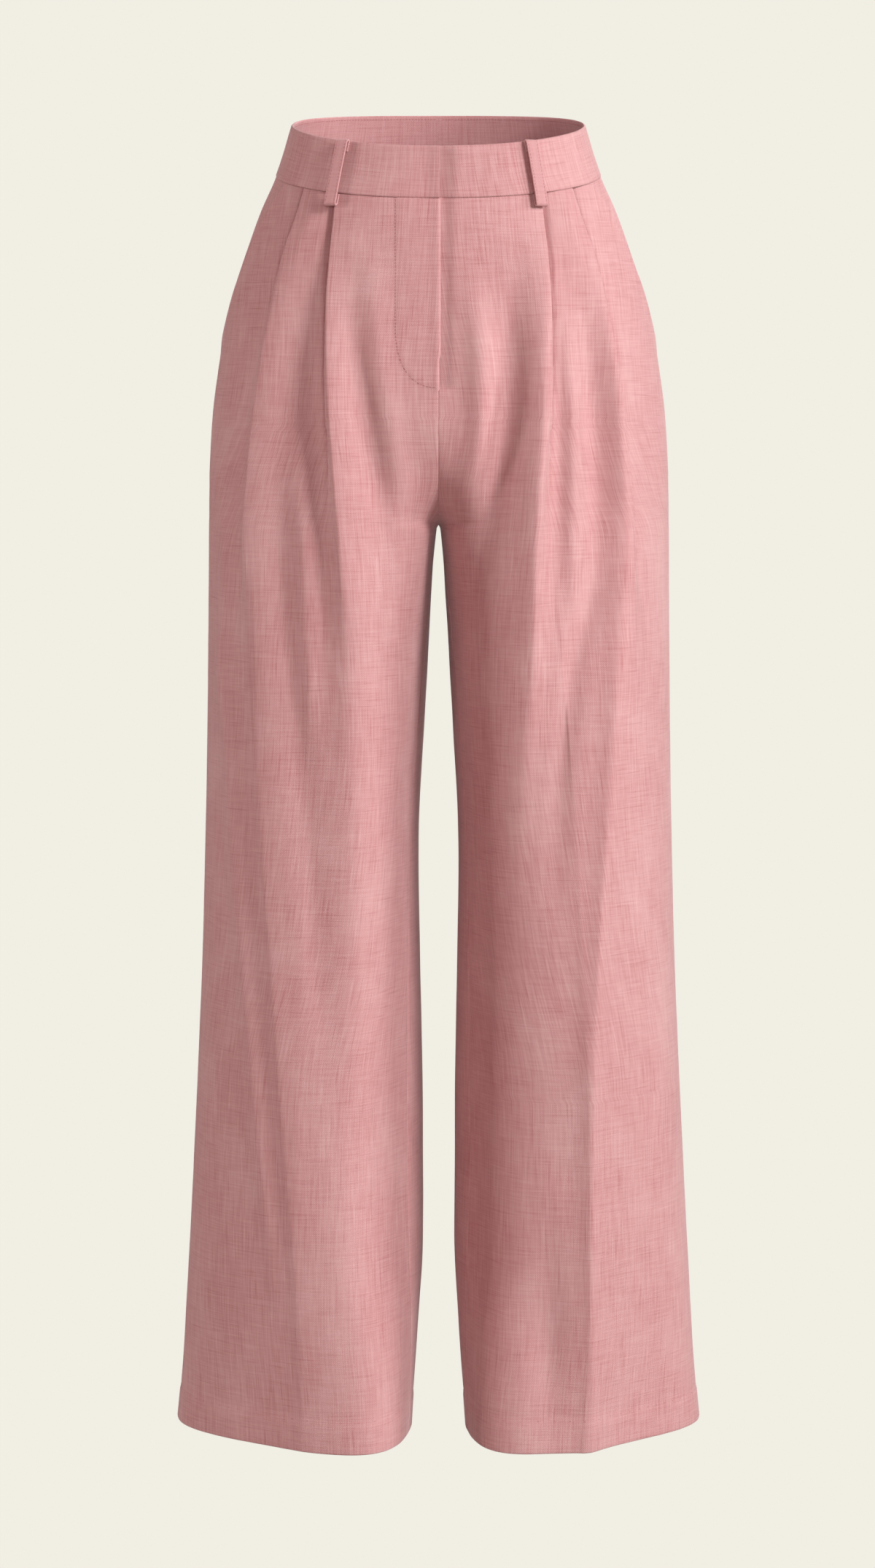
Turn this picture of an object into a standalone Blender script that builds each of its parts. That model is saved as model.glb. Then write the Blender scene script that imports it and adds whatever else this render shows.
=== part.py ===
"""Pleated wide-leg trousers, filled out as worn with nobody inside, as walls of cloth.

Metres, +Z up. +X is the wearer's left and -Y the front. The origin is the middle of the waist, level
with the waist seam at the sides, where a wearer's waist holds the trousers up. "Drop" is the distance
below that level, so the hem lies at HEM_DROP.

Each leg's level section is a half ring of four curves: inner front, outer front, outer back and inner
back. They meet at the front crease (which is the inner pleat's fold above the hip), at the side seam
and at the back crease, and end at the centre seam above the crotch and at the inseam below it. A piece
is a grid of points on those rings, moved in or out by its pleats and folds, and given its thickness.
"""

import math
from collections import namedtuple
from functools import lru_cache

import bpy
import numpy as np

# Driving sizes, in metres.
CLOTH = 0.0012
SEAM_GAP = 0.0003
SIDE_GAP = 0.0006
WAIST_GAP = 0.0009
WAIST_RISE = 0.19
WAIST_BEND = 0.50
HEM_DROP = 1.0586
HEM_TURN_UP = 0.027
TURN_UP_GAP = 0.0010
CROTCH_DROP = 0.290
CROTCH_CURVE = 0.090
CROTCH_Y = -0.022
LEVEL_BELOW = 0.200

BAND_HEIGHT = 0.042
BAND_CLOTH = 0.0015
BAND_LAP = 0.030

FLY_DROP = 0.176
FLY_LAP = 0.0010
FLY_LAP_DROP = 0.151
LAP_FLAT = 0.004
LAP_RAMP = 0.015
SHIELD_WIDTH = 0.032
SHIELD_RETURN = 0.012

POCKET_INSET = 0.040
POCKET_DROP = 0.150
POCKET_GAP = 0.0009
POCKET_PIECE_DROP = 0.142

LOOP_WIDTH = 0.0105
LOOP_CLOTH = 0.0016
LOOP_STAND_OFF = 0.0050
LOOP_TAIL = 0.009
LOOP_BELOW_SEAM = 0.010
LOOP_SEAT = 0.0008

# The two creases fell a little to one side, from CREASE_START down.
CREASE_SHIFT = 0.004
CREASE_START = 0.45
CREASE_SETTLE = 0.25

SHARP_ANGLE = math.radians(50)

# Level sections. The fold is the inner pleat's edge, and further down the pressed front crease.
SECTION_COLUMNS = (
    "drop", "side_x", "side_y", "fold_x", "fold_y", "slope_in", "slope_out", "outer_fold_x",
    "back_x", "back_y", "slope_back", "inner_square", "outer_square", "back_square",
)
SECTIONS = (
    (-0.0600, 0.1155, 0.000, 0.0780, -0.0680, 0.64, 0.64, 0.1000, 0.072, 0.0705, 0.52, 1.00, 1.00, 1.00),
    (0.0000, 0.1344, 0.000, 0.0825, -0.0765, 0.55, 0.55, 0.1070, 0.080, 0.0770, 0.50, 1.00, 1.00, 1.00),
    (0.0300, 0.1480, 0.002, 0.0845, -0.0840, 0.47, 0.47, 0.1145, 0.083, 0.0875, 0.46, 1.00, 1.00, 1.00),
    (0.0600, 0.1592, 0.005, 0.0862, -0.0895, 0.42, 0.42, 0.1230, 0.085, 0.0965, 0.42, 1.00, 1.00, 1.00),
    (0.1000, 0.1725, 0.008, 0.0880, -0.0950, 0.37, 0.40, 0.1310, 0.087, 0.1080, 0.38, 1.00, 1.00, 1.00),
    (0.1500, 0.1832, 0.010, 0.0884, -0.1005, 0.31, 0.38, 0.1385, 0.090, 0.1180, 0.32, 1.00, 1.00, 1.00),
    (0.2000, 0.1900, 0.012, 0.0868, -0.1045, 0.22, 0.36, 0.1445, 0.094, 0.1235, 0.24, 1.00, 1.00, 1.00),
    (0.2500, 0.1930, 0.012, 0.0890, -0.1085, 0.14, 0.33, 0.1500, 0.098, 0.1255, 0.16, 1.12, 1.00, 1.06),
    (0.2900, 0.1936, 0.012, 0.0930, -0.1110, 0.10, 0.30, 0.1545, 0.101, 0.1260, 0.10, 1.28, 1.00, 1.15),
    (0.3400, 0.1941, 0.011, 0.0975, -0.1130, 0.07, 0.27, 0.1570, 0.104, 0.1250, 0.05, 1.30, 1.00, 1.15),
    (0.4500, 0.1956, 0.008, 0.1070, -0.1150, 0.04, 0.30, 0.1600, 0.111, 0.1200, 0.00, 1.30, 1.05, 1.10),
    (0.6000, 0.1990, 0.004, 0.1150, -0.1145, 0.08, 0.38, 0.1640, 0.117, 0.1120, 0.00, 1.32, 1.15, 1.00),
    (0.8000, 0.2077, 0.000, 0.1225, -0.1135, 0.14, 0.52, 0.1690, 0.121, 0.1070, 0.00, 1.38, 1.25, 1.00),
    (0.9500, 0.2160, -0.002, 0.1235, -0.1135, 0.20, 0.65, 0.1720, 0.123, 0.1065, 0.00, 1.44, 1.35, 1.00),
    (1.0200, 0.2208, -0.002, 0.1200, -0.1150, 0.25, 0.72, 0.1730, 0.124, 0.1080, 0.00, 1.48, 1.40, 1.00),
    (1.0586, 0.2247, -0.002, 0.1190, -0.1165, 0.27, 0.76, 0.1730, 0.125, 0.1100, 0.00, 1.48, 1.40, 1.00),
)

# The centre seams' distance from the middle, down to where the crotch curve starts.
CENTRE_COLUMNS = ("drop", "front_y", "back_y")
CENTRES = (
    (-0.060, -0.0905, 0.0905),
    (0.000, -0.0950, 0.0950),
    (0.050, -0.1040, 0.1090),
    (0.100, -0.1095, 0.1220),
    (0.150, -0.1130, 0.1310),
    (0.200, -0.1145, 0.1350),
)

# The inseam below the crotch. The turn is the section's direction there, in degrees from +X to -Y.
INSEAM_COLUMNS = ("drop", "inseam_x", "inseam_y", "turn")
INSEAM = (
    (0.2900, 0.0016, -0.022, 90.0),
    (0.3400, 0.0075, -0.028, 84.0),
    (0.4500, 0.0172, -0.035, 77.0),
    (0.5500, 0.0238, -0.040, 73.0),
    (0.6800, 0.0262, -0.045, 66.0),
    (0.8000, 0.0266, -0.047, 62.0),
    (0.9000, 0.0250, -0.048, 64.0),
    (0.9700, 0.0232, -0.049, 74.0),
    (1.0586, 0.0262, -0.060, 82.0),
)

# Pleats. The throw makes the Z of cloth, the spread is the stretch that it takes up, and the height is
# how far its top and bottom layers stand off its middle one.
PLEAT_COLUMNS = (
    "drop", "inner_throw", "inner_spread", "inner_height", "outer_throw", "outer_spread", "outer_height",
)
PLEATS = (
    (0.0000, 0.0140, 0.006, 0.0021, 0.0130, 0.006, 0.0021),
    (0.1000, 0.0120, 0.006, 0.0023, 0.0115, 0.006, 0.0025),
    (0.2000, 0.0080, 0.005, 0.0028, 0.0085, 0.005, 0.0034),
    (0.2600, 0.0020, 0.006, 0.0034, 0.0045, 0.005, 0.0042),
    (0.3200, 0.0000, 0.014, 0.0028, 0.0010, 0.010, 0.0040),
    (0.4500, 0.0000, 0.020, 0.0008, 0.0000, 0.019, 0.0020),
    (0.6000, 0.0000, 0.020, 0.0000, 0.0000, 0.020, 0.0004),
    (1.0586, 0.0000, 0.020, 0.0000, 0.0000, 0.020, 0.0000),
)
TUCK_DROP = 0.06
FLAT_THROW = 0.008
CRISP_STEP = 0.14
SOFT_STEP = 0.50

# Soft folds: a path of three places (drop and distance from the middle), a half width, and a height
# that is negative for a trough. They fade in and out over FOLD_FADE of their length.
FOLD_COLUMNS = (
    "face", "side", "top", "top_x", "middle_x", "bottom", "bottom_x", "width", "height",
)
FOLDS = (
    ("front", "both", 0.05, 0.045, 0.039, 0.33, 0.024, 0.013, 0.0025),
    ("front", "both", 0.06, 0.070, 0.060, 0.40, 0.035, 0.015, -0.0035),
    ("front", "both", 0.10, 0.126, 0.134, 0.42, 0.131, 0.015, -0.0028),
    ("front", "left", 0.32, 0.078, 0.086, 0.64, 0.100, 0.017, 0.0030),
    ("front", "left", 0.32, 0.048, 0.052, 0.66, 0.062, 0.020, -0.0030),
    ("front", "left", 0.40, 0.114, 0.118, 0.60, 0.122, 0.012, -0.0022),
    ("front", "right", 0.30, 0.085, 0.086, 0.74, 0.087, 0.019, -0.0034),
    ("front", "right", 0.28, 0.034, 0.040, 0.78, 0.046, 0.015, 0.0030),
    ("front", "right", 0.40, 0.150, 0.137, 1.02, 0.113, 0.013, 0.0032),
    ("front", "right", 0.46, 0.163, 0.150, 0.98, 0.126, 0.010, -0.0030),
    ("back", "both", 0.22, 0.045, 0.060, 0.48, 0.085, 0.020, -0.0040),
    ("back", "both", 0.30, 0.135, 0.128, 0.66, 0.120, 0.018, 0.0032),
    ("back", "left", 0.50, 0.085, 0.100, 0.98, 0.118, 0.020, -0.0032),
    ("back", "right", 0.46, 0.095, 0.098, 0.92, 0.108, 0.022, -0.0036),
)
FOLD_FADE = 0.28

# Where the grids have their columns: shares of each stretch, and places across a pleat.
INNER_SHARES = (0.0, 0.12, 0.30, 0.52, 0.76)
PLEAT_PLACES = (-1.0, -0.64, -0.56, -0.44, -0.36, 0.38, 0.50, 0.62, 1.0)
OUTER_SHARES = (0.35, 0.70, 1.0)
BACK_SHARES = (0.0, 0.07, 0.16, 0.26, 0.36, 0.46, 0.56, 0.66, 0.76, 0.85, 0.93, 1.0)
UPPER_DROPS = (0.0, 0.012, 0.035, 0.06, 0.09, 0.12, 0.15, 0.17)
CROTCH_ANGLES = (0.0, 22.5, 45.0, 67.5, 90.0)
LEG_DROPS = (0.305, 0.34, 0.40, 0.48, 0.59, 0.72, 0.85, 0.96)
BAND_SHARES = (0.25, 0.375, 0.5, 0.625, 0.75, 0.875, 1.0)
BAND_BACK_SHARES = (0.125, 0.25, 0.375, 0.5, 0.625, 0.75, 0.875, 1.0)
HEM_ANGLES = (0, 60, 120, 180)
POCKET_SHARES = (0.0, 0.2, 0.5, 0.8, 1.0)
SHIELD_GRID = (6, 4)
SPAN_POINTS = 28
SEARCH_STEPS = 4

BELT_LOOPS = (
    ("belt_loop_front_left", "front", 1, 0.0730, 0.0820),
    ("belt_loop_front_right", "front", -1, 0.0755, 0.0860),
    ("belt_loop_back_left", "back", 1, 0.0740, 0.0770),
    ("belt_loop_back_right", "back", -1, 0.0740, 0.0770),
    ("belt_loop_back_centre", "back", 1, 0.0, 0.0),
)

# Finishes: base colour (linear), roughness.
TWILL = ((0.73, 0.39, 0.40), 0.85)
TWILL_INSIDE = ((0.62, 0.32, 0.32), 0.88)
LOOP_TWILL = ((0.70, 0.37, 0.38), 0.85)

# A level section: points, outward directions, lengths along it, and the lengths to its landmarks.
Ring = namedtuple("Ring", "points normals lengths to_fold to_outer_fold to_end")

# A place round the waist: a share of one face's length, a distance past it, and how far out it lies.
Station = namedtuple("Station", "face share distance relief")


def monotone(columns, rows, name, drop):
    """Reads one column of a table at a drop, on a smooth curve that never overshoots its rows."""
    table = np.array(rows, float)
    at = table[:, 0]
    values = table[:, columns.index(name)]
    widths = np.diff(at)
    slopes = np.diff(values) / widths
    tangents = np.zeros_like(values)
    tangents[0] = slopes[0]
    tangents[-1] = slopes[-1]
    for row in range(1, len(at) - 1):
        before = slopes[row - 1]
        after = slopes[row]
        if before * after > 0:
            weight_before = 2 * widths[row] + widths[row - 1]
            weight_after = widths[row] + 2 * widths[row - 1]
            total = weight_before + weight_after
            tangents[row] = total / (weight_before / before + weight_after / after)
    drop = min(max(drop, at[0]), at[-1])
    row = min(int(np.searchsorted(at, drop, side="right")) - 1, len(widths) - 1)
    width = widths[row]
    share = (drop - at[row]) / width
    rise = share * share * (3 - 2 * share)
    return float(
        values[row] * (1 - rise)
        + values[row + 1] * rise
        + width * tangents[row] * share * (1 - share) ** 2
        - width * tangents[row + 1] * share * share * (1 - share)
    )


def smooth_step(share):
    """0 below 0, 1 above 1, with level ends."""
    share = min(max(share, 0.0), 1.0)
    return share * share * (3 - 2 * share)


def waist_line(y):
    """Height of the waist seam: it dips at the front and rises at the back."""
    return WAIST_RISE * y - WAIST_BEND * y * y


def centre_y(face, drop):
    """The centre seam's y, round the crotch curve to the crotch point."""
    start = CROTCH_DROP - CROTCH_CURVE
    y = monotone(CENTRE_COLUMNS, CENTRES, face + "_y", min(drop, start))
    if drop <= start:
        return y
    share = min((drop - start) / CROTCH_CURVE, 1.0)
    return CROTCH_Y + (y - CROTCH_Y) * math.sqrt(1 - share * share)


def inner_edge(face, drop):
    """(x, y, turn) of the section's inner end: the centre seam, or the inseam below the crotch."""
    if drop < CROTCH_DROP:
        y = centre_y(face, drop)
        share = (y - CROTCH_Y) / (centre_y(face, min(drop, CROTCH_DROP - CROTCH_CURVE)) - CROTCH_Y)
        turn = math.atan2(1 - share * share, share)
        return SEAM_GAP / 2 + CLOTH / 2 * math.sin(turn), y, math.degrees(turn)
    x, y, turn = (monotone(INSEAM_COLUMNS, INSEAM, name, drop) for name in INSEAM_COLUMNS[1:])
    return x, y, turn if face == "front" else 180.0 - turn


def span(start, start_way, end, end_way, start_square=1.0, end_square=1.0):
    """Points along one cubic curve between two places with given directions.

    A square of 1 at both ends gives the curve that is nearest to round, and more gives a squarer one.
    """
    start, end = np.array(start), np.array(end)
    start_way, end_way = np.array(start_way), np.array(end_way)
    chord = end - start
    turn = max(math.acos(min(start_way @ end_way, 1.0)), 0.01)
    reach = 4 / 3 * math.tan(turn / 4) / math.sin(turn)
    first = start + start_way * reach * start_square * abs(chord @ start_way)
    second = end - end_way * reach * end_square * abs(chord @ end_way)
    t = np.linspace(0, 1, SPAN_POINTS)[:, None]
    return (
        start * (1 - t) ** 3
        + first * 3 * t * (1 - t) ** 2
        + second * 3 * t * t * (1 - t)
        + end * t**3
    )


def direction(slope, way=1.0):
    """Unit direction along +X (or -X) that gains y by the slope."""
    size = math.hypot(1.0, slope)
    return (way / size, slope / size)


@lru_cache(maxsize=None)
def ring(face, side, drop):
    """One level section of a leg, from the inner edge to the side seam (front) or back (back)."""
    size = {name: monotone(SECTION_COLUMNS, SECTIONS, name, drop) for name in SECTION_COLUMNS[1:]}
    shift = side * CREASE_SHIFT * smooth_step((drop - CREASE_START) / CREASE_SETTLE)
    x, y, turn = inner_edge(face, drop)
    turn = math.radians(turn)
    seam = (size["side_x"], size["side_y"])
    inner = size["inner_square"]
    if face == "front":
        fold = (size["fold_x"] + shift, size["fold_y"])
        inner_way = (math.cos(turn), -math.sin(turn))
        parts = (
            span((x, y), inner_way, fold, direction(size["slope_in"]), inner, inner),
            span(fold, direction(size["slope_out"]), seam, (0, 1), size["outer_square"]),
        )
    else:
        crease = (size["back_x"] + shift, size["back_y"])
        back_way = direction(size["slope_back"], -1.0)
        inner_way = (-math.cos(turn), -math.sin(turn))
        parts = (
            span(seam, (0, 1), crease, back_way),
            span(crease, back_way, (x, y), inner_way, size["back_square"], size["back_square"]),
        )
    points = np.vstack((parts[0], parts[1][1:]))
    lengths = np.concatenate(([0.0], np.cumsum(np.linalg.norm(np.diff(points, axis=0), axis=1))))
    ways = np.gradient(points, lengths, axis=0)
    ways /= np.linalg.norm(ways, axis=1)[:, None]
    normals = np.column_stack((ways[:, 1], -ways[:, 0]))
    to_outer_fold = np.interp(size["outer_fold_x"] + shift, points[:, 0], lengths)
    return Ring(points, normals, lengths, lengths[SPAN_POINTS - 1], to_outer_fold, lengths[-1])


def on_ring(level, distance, relief):
    """(x, y) at a distance along a section, moved out by the relief. Short of 0 it runs straight on."""
    x, y = (np.interp(distance, level.lengths, level.points[:, axis]) for axis in (0, 1))
    out_x, out_y = (np.interp(distance, level.lengths, level.normals[:, axis]) for axis in (0, 1))
    if distance < 0:
        x += distance
    return x + out_x * relief, y + out_y * relief


def fold_relief(face, side, drop, x):
    """How far the soft folds lift or sink the cloth at a place."""
    relief = 0.0
    for row in FOLDS:
        fold = dict(zip(FOLD_COLUMNS, row))
        length = fold["bottom"] - fold["top"]
        share = (drop - fold["top"]) / length
        names = ("both", "left" if side > 0 else "right")
        if fold["face"] != face or fold["side"] not in names or not 0 < share < 1:
            continue
        bend = fold["middle_x"] - (fold["top_x"] + fold["bottom_x"]) / 2
        path = fold["top_x"] + (fold["bottom_x"] - fold["top_x"]) * share + 4 * bend * share * (1 - share)
        fade = smooth_step(share / FOLD_FADE) * smooth_step((1 - share) / FOLD_FADE)
        relief += fold["height"] * fade * math.exp(-(((x - path) / fold["width"]) ** 2))
    return relief


def pocket_inset(drop):
    """How far the slanted pocket mouth lies in front of the side seam."""
    return POCKET_INSET * max(0.0, 1 - drop / POCKET_DROP)


def pleat_sizes(drop):
    return {name: monotone(PLEAT_COLUMNS, PLEATS, name, drop) for name in PLEAT_COLUMNS[1:]}


def pleat_tuck(drop):
    """1 at the waist seam, where a pleat's top layer lies level with the cloth round it, then 0."""
    return 1 - smooth_step(drop / TUCK_DROP)


def across_pleat(place, edge, throw, spread, height, tuck):
    """(distance, relief) at a place from -1 to 1 through the Z of cloth whose top fold is at edge."""
    middle = edge - throw + spread / 2
    step = SOFT_STEP - (SOFT_STEP - CRISP_STEP) * min(1.0, throw / FLAT_THROW)
    turn = math.acos(min(spread / (math.pi * max(throw, spread)), 1.0)) / math.pi
    first = smooth_step((place + turn + step) / (2 * step))
    second = smooth_step((place - turn + step) / (2 * step))
    layer = 1.0 - first - second
    return middle + spread * place - throw * math.sin(math.pi * place), height * (layer - tuck)


def outer_relief(distance, start, end, drop):
    """Relief beyond the outer pleat: from its bottom layer up to the plain cloth at the pocket or seam."""
    sizes = pleat_sizes(drop)
    share = min(max((distance - start) / (end - start), 0.0), 1.0)
    return -sizes["outer_height"] * (1 + pleat_tuck(drop)) * (1 - share)


def outer_stretch(level, drop):
    """Where the plain stretch beyond the outer pleat starts and ends, as distances along the front."""
    sizes = pleat_sizes(drop)
    start = level.to_outer_fold - sizes["outer_throw"] + 1.5 * sizes["outer_spread"]
    return start, level.to_end - max(pocket_inset(drop), SIDE_GAP / 2)


def fly_dip(side, distance, drop):
    """The wearer's left front dips under the right one along the fly."""
    if side < 0 or drop > FLY_DROP:
        return 0.0
    return -(CLOTH + SEAM_GAP) * smooth_step((LAP_RAMP - distance) / (LAP_RAMP - LAP_FLAT))


def front_places(side, level, drop):
    """(distance, relief) of every column across a front at one drop."""
    sizes = pleat_sizes(drop)
    tuck = pleat_tuck(drop)
    inner, outer = (
        [
            across_pleat(
                place, edge, sizes[name + "_throw"], sizes[name + "_spread"], sizes[name + "_height"], tuck
            )
            for place in PLEAT_PLACES
        ]
        for name, edge in (("inner", level.to_fold), ("outer", level.to_outer_fold))
    )
    first = SEAM_GAP / 2 if drop >= CROTCH_DROP else 0.0
    if side < 0 and drop < FLY_LAP_DROP:
        first = -FLY_LAP
    places = []
    for share in INNER_SHARES:
        distance = first + (inner[0][0] - first) * share
        places.append((distance, inner[0][1] * share + fly_dip(side, distance, drop)))
    places += inner
    places.append(tuple((a + b) / 2 for a, b in zip(inner[-1], outer[0])))
    places += outer
    start, end = outer_stretch(level, drop)
    for share in OUTER_SHARES:
        distance = start + (end - start) * share
        places.append((distance, outer_relief(distance, start, end, drop)))
    return places


def back_places(side, level, drop):
    """(distance, relief) of every column across a back, from the side seam inwards."""
    last = level.to_end - (SEAM_GAP / 2 if drop >= CROTCH_DROP else 0.0)
    return [(SIDE_GAP / 2 + (last - SIDE_GAP / 2) * share, 0.0) for share in BACK_SHARES]


def height_on(face, side, places_at, drop, column):
    """World z of a column at a drop below the waist seam: the upper rows follow the seam's curve."""
    share = max(0.0, 1 - drop / LEVEL_BELOW)
    return -drop + seam_height(face, side, places_at, column) * share * share


@lru_cache(maxsize=None)
def seam_height(face, side, places_at, column):
    """Height of the waist seam where a column meets it, found by repeated substitution."""
    z = 0.0
    for _ in range(SEARCH_STEPS):
        level = ring(face, side, round(-z, 6))
        distance, _relief = places_at(side, level, 0.0)[column]
        z = waist_line(on_ring(level, distance, 0.0)[1])
    return z


def panel_rows():
    """(drop, inward move) of every row: waist to hem, then round the hem's fold and up the turn-up."""
    start = CROTCH_DROP - CROTCH_CURVE
    crotch = tuple(round(start + CROTCH_CURVE * math.sin(math.radians(angle)), 6) for angle in CROTCH_ANGLES)
    fold = (CLOTH + TURN_UP_GAP) / 2
    turn_up = HEM_DROP - HEM_TURN_UP
    rows = [(drop, 0.0) for drop in UPPER_DROPS + crotch + LEG_DROPS + (turn_up,)]
    for angle in HEM_ANGLES:
        angle = math.radians(angle)
        rows.append((HEM_DROP - CLOTH / 2 - fold * (1 - math.sin(angle)), fold * (1 - math.cos(angle))))
    return rows + [(turn_up, 2 * fold)]


def place_point(face, side, places_at, drop, inward, column):
    """World point of one column of a piece at a drop."""
    z = height_on(face, side, places_at, drop, column)
    level = ring(face, side, round(-z, 6))
    distance, relief = places_at(side, level, drop)[column]
    plain_x, _plain_y = on_ring(level, distance, 0.0)
    relief += fold_relief(face, side, drop, plain_x) - inward
    x, y = on_ring(level, distance, relief)
    return (side * x, y, z)


def sheet(name, rows, thickness, finish):
    """Makes an object from a grid of points, with its thickness laid half on each side."""
    across = len(rows[0])
    corners = [
        row * across + column for row in range(len(rows) - 1) for column in range(across - 1)
    ]
    faces = [(first, first + 1, first + across + 1, first + across) for first in corners]
    mesh = bpy.data.meshes.new(name)
    mesh.from_pydata([point for row in rows for point in row], [], faces)
    mesh.shade_smooth()
    mesh.set_sharp_from_angle(angle=SHARP_ANGLE)
    mesh.materials.append(cloth_material(name, *finish))
    solid = bpy.data.objects.new(name, mesh)
    bpy.context.scene.collection.objects.link(solid)
    wall = solid.modifiers.new("thickness", "SOLIDIFY")
    wall.thickness = thickness
    wall.offset = 0.0
    wall.use_even_offset = True
    return solid


def cloth_material(name, colour, roughness):
    material = bpy.data.materials.new(name)
    material.use_nodes = True
    shader = material.node_tree.nodes["Principled BSDF"]
    shader.inputs["Base Color"].default_value = (*colour, 1.0)
    shader.inputs["Roughness"].default_value = roughness
    shader.inputs["Metallic"].default_value = 0.0
    return material


def side_name(name, side):
    return name + ("_left" if side > 0 else "_right")


def make_panels():
    """The two fronts and two backs, each one piece of cloth with its hem turned up inside."""
    for face, places_at in (("front", front_places), ("back", back_places)):
        columns = len(places_at(1, ring(face, 1, 0.0), 0.0))
        for side in (1, -1):
            rows = [
                [place_point(face, side, places_at, drop, inward, column) for column in range(columns)]
                for drop, inward in panel_rows()
            ]
            sheet(side_name(face, side), rows, CLOTH, TWILL)


def pocket_places(side, level, drop):
    """(distance, relief) across the piece behind a pocket mouth, from under the front to the side seam."""
    start, end = outer_stretch(level, drop)
    outer_edge = level.to_end - SIDE_GAP / 2
    under = CLOTH + POCKET_GAP
    first = start + (end - start) * OUTER_SHARES[-2]
    places = [(first, outer_relief(first, start, end, drop) - under)]
    flat, risen = POCKET_SHARES[1], POCKET_SHARES[-2]
    for share in POCKET_SHARES:
        sunk = 1 - smooth_step((share - flat) / (risen - flat))
        places.append((end + (outer_edge - end) * share, -under * sunk))
    return places


def make_pocket_sides():
    drops = tuple(drop for drop in UPPER_DROPS if drop < POCKET_PIECE_DROP) + (POCKET_PIECE_DROP,)
    columns = len(POCKET_SHARES) + 1
    for side in (1, -1):
        rows = [
            [place_point("front", side, pocket_places, drop, 0.0, column) for column in range(columns)]
            for drop in drops
        ]
        sheet(side_name("pocket_side", side), rows, CLOTH, TWILL)


def station_point(side, station, z, depth=0.0):
    """World point of a waist station at a height, sunk in by a depth.

    A station short of the centre front lies on the mirror image of the section.
    """
    level = ring(station.face, 1, round(-z, 6))
    distance = station.share * level.to_end + station.distance
    x, y = on_ring(level, abs(distance), station.relief - depth)
    return (side * math.copysign(x, distance), y, z)


def station_seam(station):
    """Height of the waist seam at a station, found by repeated substitution."""
    z = 0.0
    for _ in range(SEARCH_STEPS):
        _x, y, _z = station_point(1, station, z, station.relief)
        z = waist_line(y)
    return z


def make_fly_shield():
    """The underlap behind the fly opening, joined to the wearer's left."""
    under = 2 * (CLOTH + SEAM_GAP)
    across, down = SHIELD_GRID
    spread = np.linspace(-SHIELD_WIDTH, SHIELD_RETURN, across)
    stations = [Station("front", 0.0, distance, -under) for distance in spread]
    rows = [
        [station_point(1, station, height_on("front", 1, front_places, drop, 0)) for station in stations]
        for drop in np.linspace(0.0, FLY_DROP - CLOTH, down)
    ]
    sheet("fly_shield", rows, CLOTH, TWILL_INSIDE)


def band_stations(side):
    """Stations round one half of the waistband. The wearer's left half runs on under the right one."""
    lap_depth = 2 * (BAND_CLOTH + SEAM_GAP)
    stations = [Station("front", 0.0, -FLY_LAP, 0.0)]
    if side > 0:
        stations = [
            Station("front", 0.0, distance, -lap_depth)
            for distance in (-BAND_LAP, -BAND_LAP / 2, -FLY_LAP / 2, FLY_LAP * 1.5)
        ]
    stations += [Station("front", 0.0, distance, 0.0) for distance in (LAP_RAMP, BAND_LAP)]
    stations += [Station("front", share, 0.0, 0.0) for share in BAND_SHARES]
    return stations + [Station("back", share, 0.0, 0.0) for share in BAND_BACK_SHARES]


def band_rows(side, depth):
    """Grid of one half of the waistband, from its top edge down, sunk in by a depth."""
    stations = band_stations(side)
    rise = BAND_HEIGHT - WAIST_GAP
    return [
        [
            station_point(side, station, station_seam(station) + WAIST_GAP + rise * share, depth)
            for station in stations
        ]
        for share in (1.0, 0.5, 0.0)
    ]


def make_waistband():
    """Outer band and inner facing, one half each side of the centre back seam."""
    inside = BAND_CLOTH / 2 + SEAM_GAP + CLOTH / 2
    for side in (1, -1):
        sheet(side_name("waistband", side), band_rows(side, 0.0), BAND_CLOTH, TWILL)
        sheet(side_name("waistband_facing", side), band_rows(side, inside), CLOTH, TWILL_INSIDE)


def loop_path():
    """(stand-off, height above the waist seam) down a belt loop, with both ends tucked behind it."""
    tucked = BAND_CLOTH / 2 + LOOP_SEAT + LOOP_CLOTH / 2
    proud = BAND_CLOTH / 2 + LOOP_STAND_OFF + LOOP_CLOTH / 2
    turn = (proud - tucked) / 2
    top = BAND_HEIGHT
    bottom = -LOOP_BELOW_SEAM
    path = [(tucked, top - LOOP_TAIL), (tucked, top - turn)]
    path.append(((tucked + proud) / 2, top - LOOP_CLOTH / 2))
    path += [(proud, top - turn), (proud, (top + bottom) / 2), (proud, bottom + turn)]
    path.append(((tucked + proud) / 2, bottom + LOOP_CLOTH / 2))
    return path + [(tucked, bottom + turn), (tucked, bottom + LOOP_TAIL)]


def band_place(face, x, height):
    """(x, y, z) on the waistband's middle and its outward (x, y), at a height above the waist seam."""
    z = height
    for _ in range(SEARCH_STEPS):
        level = ring(face, 1, round(-z, 6))
        order = slice(None) if face == "front" else slice(None, None, -1)
        distance = np.interp(x, level.points[order, 0], level.lengths[order])
        z = waist_line(on_ring(level, distance, 0.0)[1]) + height
    out = [np.interp(distance, level.lengths, level.normals[:, axis]) for axis in (0, 1)]
    return np.array((x, on_ring(level, distance, 0.0)[1], z)), np.array((*out, 0.0))


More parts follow.
